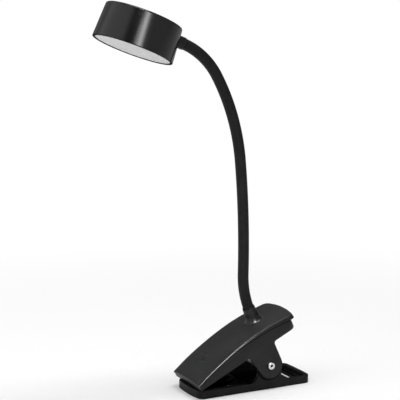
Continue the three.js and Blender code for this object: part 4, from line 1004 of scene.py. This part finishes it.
def make_head():
    slope = math.tan(HEAD_DRAFT)
    rim_radius = HEAD_RADIUS - HEAD_TRIM
    top_radius = rim_radius - slope * HEAD_HEIGHT
    ledge_radius = rim_radius - slope * LEDGE_HEIGHT - HEAD_WALL
    outline = [
        (0, HEAD_HEIGHT - HEAD_WALL, 0),
        (top_radius - HEAD_WALL - LEDGE_WIDTH, HEAD_HEIGHT - HEAD_WALL, 1 * MM),
        (ledge_radius - LEDGE_WIDTH, LEDGE_HEIGHT, 0),
        (ledge_radius, LEDGE_HEIGHT, 0),
        (rim_radius - HEAD_WALL, 0, 0.4 * MM),
        (rim_radius, 0, 0.7 * MM),
        (top_radius, HEAD_HEIGHT - HEAD_TRIM, 1.7 * MM),
        (0, HEAD_HEIGHT - HEAD_TRIM, 0),
    ]
    shape = lathe(rounded_profile(outline, steps=8), sides=160)
    head = closed_object("head_shell", shape, HEAD_CASE, HEAD_TO_WORLD)
    dull_lip(head)
    soften(head)
    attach(head, "head")
    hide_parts("head_housing")


def make_lens():
    """The opal disc. Its lower face is split into rings of small faces."""
    radius = HEAD_RADIUS - HEAD_TRIM - math.tan(HEAD_DRAFT) * LENS_TOP - HEAD_WALL - GAP
    rings = [(radius * k / LENS_RINGS, LENS_LOW) for k in range(LENS_RINGS)]
    outline = [
        (0, LENS_LOW, 0),
        (radius, LENS_LOW, 0.5 * MM),
        (radius, LENS_TOP, 0),
        (0, LENS_TOP, 0),
    ]
    shape = lathe(rings + rounded_profile(outline, steps=4)[1:], sides=160)
    lens = soften(closed_object("opal_lens", shape, OPAL, HEAD_TO_WORLD))
    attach(lens, "head")
    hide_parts("diffuser")


# ---------- the neck ----------


def make_neck():
    """The sleeve, in one piece for each joint, cut midway between the joints."""
    cuts = [-SLEEVE_SUNK]
    cuts += [END_LENGTH + (i + 0.5) * JOINT_PITCH for i in range(BEND_COUNT - 1)]
    cuts.append(SLEEVE_END - GAP)
    for i in range(BEND_COUNT):
        low, high = cuts[i], cuts[i + 1]
        steps = round((high - low) / SLEEVE_STEP)
        stations = [low + (high - low) * k / steps for k in range(steps + 1)]
        inner = SLEEVE_RADIUS - SLEEVE_WALL
        shape = tube(stations, SLEEVE_RADIUS, inner, sides=56, matrix_at=neck_matrix)
        piece = soften(closed_object(f"sleeve_{i + 1:02d}", shape, SLEEVE))
        joint = END_LENGTH + i * JOINT_PITCH
        neck_matrix(joint - BEND_REACH).translation
        neck_matrix(joint + BEND_REACH).translation
        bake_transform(piece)
        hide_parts("neck_sleeve", "lamp_lead")


def make_upper_fitting():
    """The short collar that the head holds."""
    outline = [
        (FITTING_BORE, -FITTING_SEEN, 0),
        (FITTING_RADIUS, -FITTING_SEEN, 0.5 * MM),
        (FITTING_RADIUS, -0.4 * MM, 1.2 * MM),
        (FITTING_RADIUS + FITTING_FLANGE, FITTING_SUNK, 0),
        (FITTING_BORE, FITTING_SUNK, 0),
    ]
    shape = lathe(rounded_profile(outline, steps=5), sides=64, close=True)
    collar = soften(closed_object("head_collar", shape, FITTING, neck_matrix(NECK_LENGTH)))
    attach(collar, "head")
    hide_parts("upper_fitting")


# ---------- stage ----------

FLOOR_HALF = 6
FLOOR_TONES = ((0.87, 0.87, 0.87), (0.88, 0.88, 0.88))
FLOOR_FADE = (0.16, 0.7)  # distances from the origin between which the floor turns plain white
FLOOR_LIFT = 0.14  # how much brighter than lit the camera sees the floor
WORLD_FILL = 0.4  # what the studio's walls give to every side

# What reflections show of the studio, by heading round the lamp in degrees: 0 is +X, 90 is +Y.
STUDIO_LOW = (
    (-180, 0.9),
    (-148, 0.9),
    (-134, 0.03),
    (-118, 0.03),
    (-85, 0.4),
    (-40, 0.43),
    (-18, 0.25),
    (4, 0.12),
    (26, 0.14),
    (64, 0.6),
    (80, 0.22),
    (118, 0.3),
    (132, 0.9),
    (180, 0.9),
)
STUDIO_HIGH = (0.12, 0.55)  # overhead, in front of the lamp and behind it
CEILING = (0.6, 0.85)  # how far up a direction points where the low cards give way to it
CEILING_TURN = (0.1, 0.5)  # how far back it points where the front gives way to the back
GAP_WAY = (0.449, 0.881, 0.149)  # low down behind the lamp, which level surfaces show
GAP_EDGE = (0.9, 0.975)
GLANCE = 0.15  # what is left of the cards there
WALL_WAY = (0.4565, 0.8951, -0.1512)  # behind the lamp, which surfaces at a glancing angle show
WALL_EDGE = (0.9, 0.97)
WALL_TOP = (0.02, 0.1)
WALL_GLOW = 0.12  # the pale wall there


def grey(value):
    return (value, value, value, 1)


def white(tree, kind, strength=1.0):
    """A plain white Emission or Background shader."""
    shader = tree.nodes.new(kind)
    shader.inputs["Color"].default_value = grey(1)
    feed(tree, strength, shader.inputs["Strength"])
    return shader.outputs[0]


def mixed(tree, factor, first, second):
    node = tree.nodes.new("ShaderNodeMixShader")
    for socket, source in zip(node.inputs, (factor, first, second)):
        tree.links.new(source, socket)
    return node.outputs[0]


def ray_kinds(tree):
    """Whether the ray is a reflection, and whether the camera sees it straight or through glass."""
    path = tree.nodes.new("ShaderNodeLightPath").outputs
    seen = maths(tree, "MAXIMUM", path["Is Camera Ray"], path["Is Transmission Ray"])
    return path["Is Glossy Ray"], seen


def make_floor():
    """White paper. Far from the lamp it is seen as plain white, and near it keeps its shadow."""
    material, tree, shader = new_material("floor_white")
    tone = place_noise(tree, scale=3, detail=2)
    tree.links.new(ramp(tree, tone, *FLOOR_TONES), shader.inputs["Base Color"])
    shader.inputs["Roughness"].default_value = 0.9
    shader.inputs["Specular IOR Level"].default_value = 0.1
    far = eased(tree, vector_maths(tree, "LENGTH", place(tree)), FLOOR_FADE)
    _, seen = ray_kinds(tree)
    share = product(tree, far, seen)
    paper = mixed(tree, share, shader.outputs[0], white(tree, "ShaderNodeEmission"))
    lift = product(tree, maths(tree, "SUBTRACT", 1, share), FLOOR_LIFT, seen)
    total = tree.nodes.new("ShaderNodeAddShader")
    tree.links.new(paper, total.inputs[0])
    tree.links.new(white(tree, "ShaderNodeEmission", lift), total.inputs[1])
    tree.links.new(total.outputs[0], tree.nodes["Material Output"].inputs["Surface"])
    verts = [(x * FLOOR_HALF, y * FLOOR_HALF, 0) for x, y in ((-1, -1), (1, -1), (1, 1), (-1, 1))]
    mesh_object("floor", (verts, [(0, 1, 2, 3)]), material)


def make_world():
    """A white studio: plain white behind the lamp, with soft cards and dark gaps before it."""
    world = bpy.data.worlds.new("studio")
    bpy.context.scene.world = world
    world.use_nodes = True
    tree = world.node_tree
    way = place(tree, "Generated")
    x, y, z = axes(tree, way)
    turn = maths(tree, "DIVIDE", maths(tree, "ARCTAN2", y, x), 2 * math.pi)
    low = tree.nodes.new("ShaderNodeValToRGB")
    stops = low.color_ramp.elements
    while len(stops) < len(STUDIO_LOW):
        stops.new(0.5)
    for stop, (angle, value) in zip(stops, STUDIO_LOW):
        stop.position = (angle + 180) / 360
        stop.color = grey(value)
    tree.links.new(maths(tree, "ADD", turn, 0.5), low.inputs["Fac"])
    aloft = eased(tree, z, CEILING)
    below = product(tree, low.outputs["Color"], maths(tree, "SUBTRACT", 1, aloft))
    overhead = eased(tree, y, CEILING_TURN, STUDIO_HIGH)
    cards = maths(tree, "ADD", below, product(tree, aloft, overhead))
    gap = eased(tree, vector_maths(tree, "DOT_PRODUCT", way, GAP_WAY), GAP_EDGE, (1, GLANCE))
    wall_way = Vector(WALL_WAY).normalized()
    wall = eased(tree, vector_maths(tree, "DOT_PRODUCT", way, wall_way), WALL_EDGE)
    wall = product(tree, wall, eased(tree, z, WALL_TOP, (1, 0)), WALL_GLOW)
    reflected = maths(tree, "MAXIMUM", product(tree, cards, gap), wall)
    glossy, seen = ray_kinds(tree)
    fill = white(tree, "ShaderNodeBackground", WORLD_FILL)
    studio = mixed(tree, glossy, fill, white(tree, "ShaderNodeBackground", reflected))
    both = mixed(tree, seen, studio, white(tree, "ShaderNodeBackground"))
    tree.links.new(both, tree.nodes["World Output"].inputs["Surface"])


# ---------- lights and camera ----------

MIDDLE = Vector((-0.03, 0, 0.12))
HEAD_MIDDLE = Vector((-0.105, 0, 0.31))
CLAMP_MIDDLE = Vector((0, 0, 0.06))
TOP_PLACE = Vector((-0.05, -0.1, 1.5))
LEFT_BEARING = Vector((-0.88, 0.06, 0.48))
CLAMP_NOSE = Vector((-0.05, -0.02, 0.03))
LIGHT_DISTANCE = 1.3
EDGE_WAY = Vector((0.84, 0.19, 0.35))  # the way the cover's bright edge runs

# The strips that show in the head: name, bearing from it, width and radiance.
HEAD_STRIPS = (
    ("strip", (-0.11, -0.959, 0.25), 0.2, 7.2),
    ("strip_edges", (-0.146, -0.954, 0.25), 0.47, 4),
)
HEAD_STRIP_HEIGHT = 0.6

# The strips that show in the cover's edge: name, target, distance, bearing, size, radiance and
# spread in degrees.
EDGE_STRIPS = (
    ("nose_strip", CLAMP_NOSE, 0.7, (-0.33, -0.55, 0.77), (0.26, 0.16), 2.1, 24),
    ("tail_strip", CLAMP_MIDDLE, LIGHT_DISTANCE, (0.02, -0.31, 0.95), (0.55, 0.2), 9, 180),
)

CAMERA_PLACE = Vector((-0.4997, -0.8951, 0.3191))
CAMERA_TARGET = Vector((-0.0432, 0, 0.1679))
CAMERA_LENS, SENSOR_WIDTH = 107.84, 36  # millimetres
CAMERA_CLIP = (0.05, 20)


def area_light(name, position, target, size, radiance):
    """A soft box of an even radiance."""
    data = bpy.data.lights.new(name, "AREA")
    data.shape = "RECTANGLE"
    data.size, data.size_y = size
    data.energy = radiance * math.pi * size[0] * size[1]
    light = bpy.data.objects.new(name, data)
    bpy.context.scene.collection.objects.link(light)
    light.location = position
    light.rotation_mode = "QUATERNION"
    light.rotation_quaternion = (target - position).to_track_quat("-Z", "Y")
    return light


def make_lights():
    area_light("top_softbox", TOP_PLACE, MIDDLE, size=(1.0, 0.34), radiance=12)
    from_left = HEAD_MIDDLE + LIGHT_DISTANCE * LEFT_BEARING
    left = area_light("left_softbox", from_left, HEAD_MIDDLE, size=(0.9, 0.9), radiance=1.3)
    left.visible_glossy = False
    for name, bearing, width, radiance in HEAD_STRIPS:
        position = HEAD_MIDDLE + LIGHT_DISTANCE * Vector(bearing)
        strip = area_light(name, position, HEAD_MIDDLE, (width, HEAD_STRIP_HEIGHT), radiance)
        strip.visible_diffuse = False
    for name, target, distance, bearing, size, radiance, spread_angle in EDGE_STRIPS:
        position = target + distance * Vector(bearing)
        edge = area_light(name, position, target, size, radiance)
        back = (position - target).normalized()
        up = -EDGE_WAY.cross(-back).normalized()
        side = up.cross(back)
        edge.rotation_quaternion = Matrix((side, up, back)).transposed().to_quaternion()
        edge.visible_diffuse = False
        edge.data.spread = math.radians(spread_angle)


def make_camera():
    data = bpy.data.cameras.new("camera")
    data.sensor_width = SENSOR_WIDTH
    data.lens = CAMERA_LENS
    data.clip_start, data.clip_end = CAMERA_CLIP
    camera = bpy.data.objects.new("camera", data)
    bpy.context.scene.collection.objects.link(camera)
    camera.location = CAMERA_PLACE
    camera.rotation_mode = "QUATERNION"
    camera.rotation_quaternion = (CAMERA_TARGET - CAMERA_PLACE).to_track_quat("-Z", "Y")
    bpy.context.scene.camera = camera


dress_cad_nodes()
make_cover()
make_spring()
make_rivet()
make_head()
make_lens()
make_neck()
make_upper_fitting()
make_floor()
make_world()
make_lights()
make_camera()

bpy.context.scene.view_settings.view_transform = "Standard"
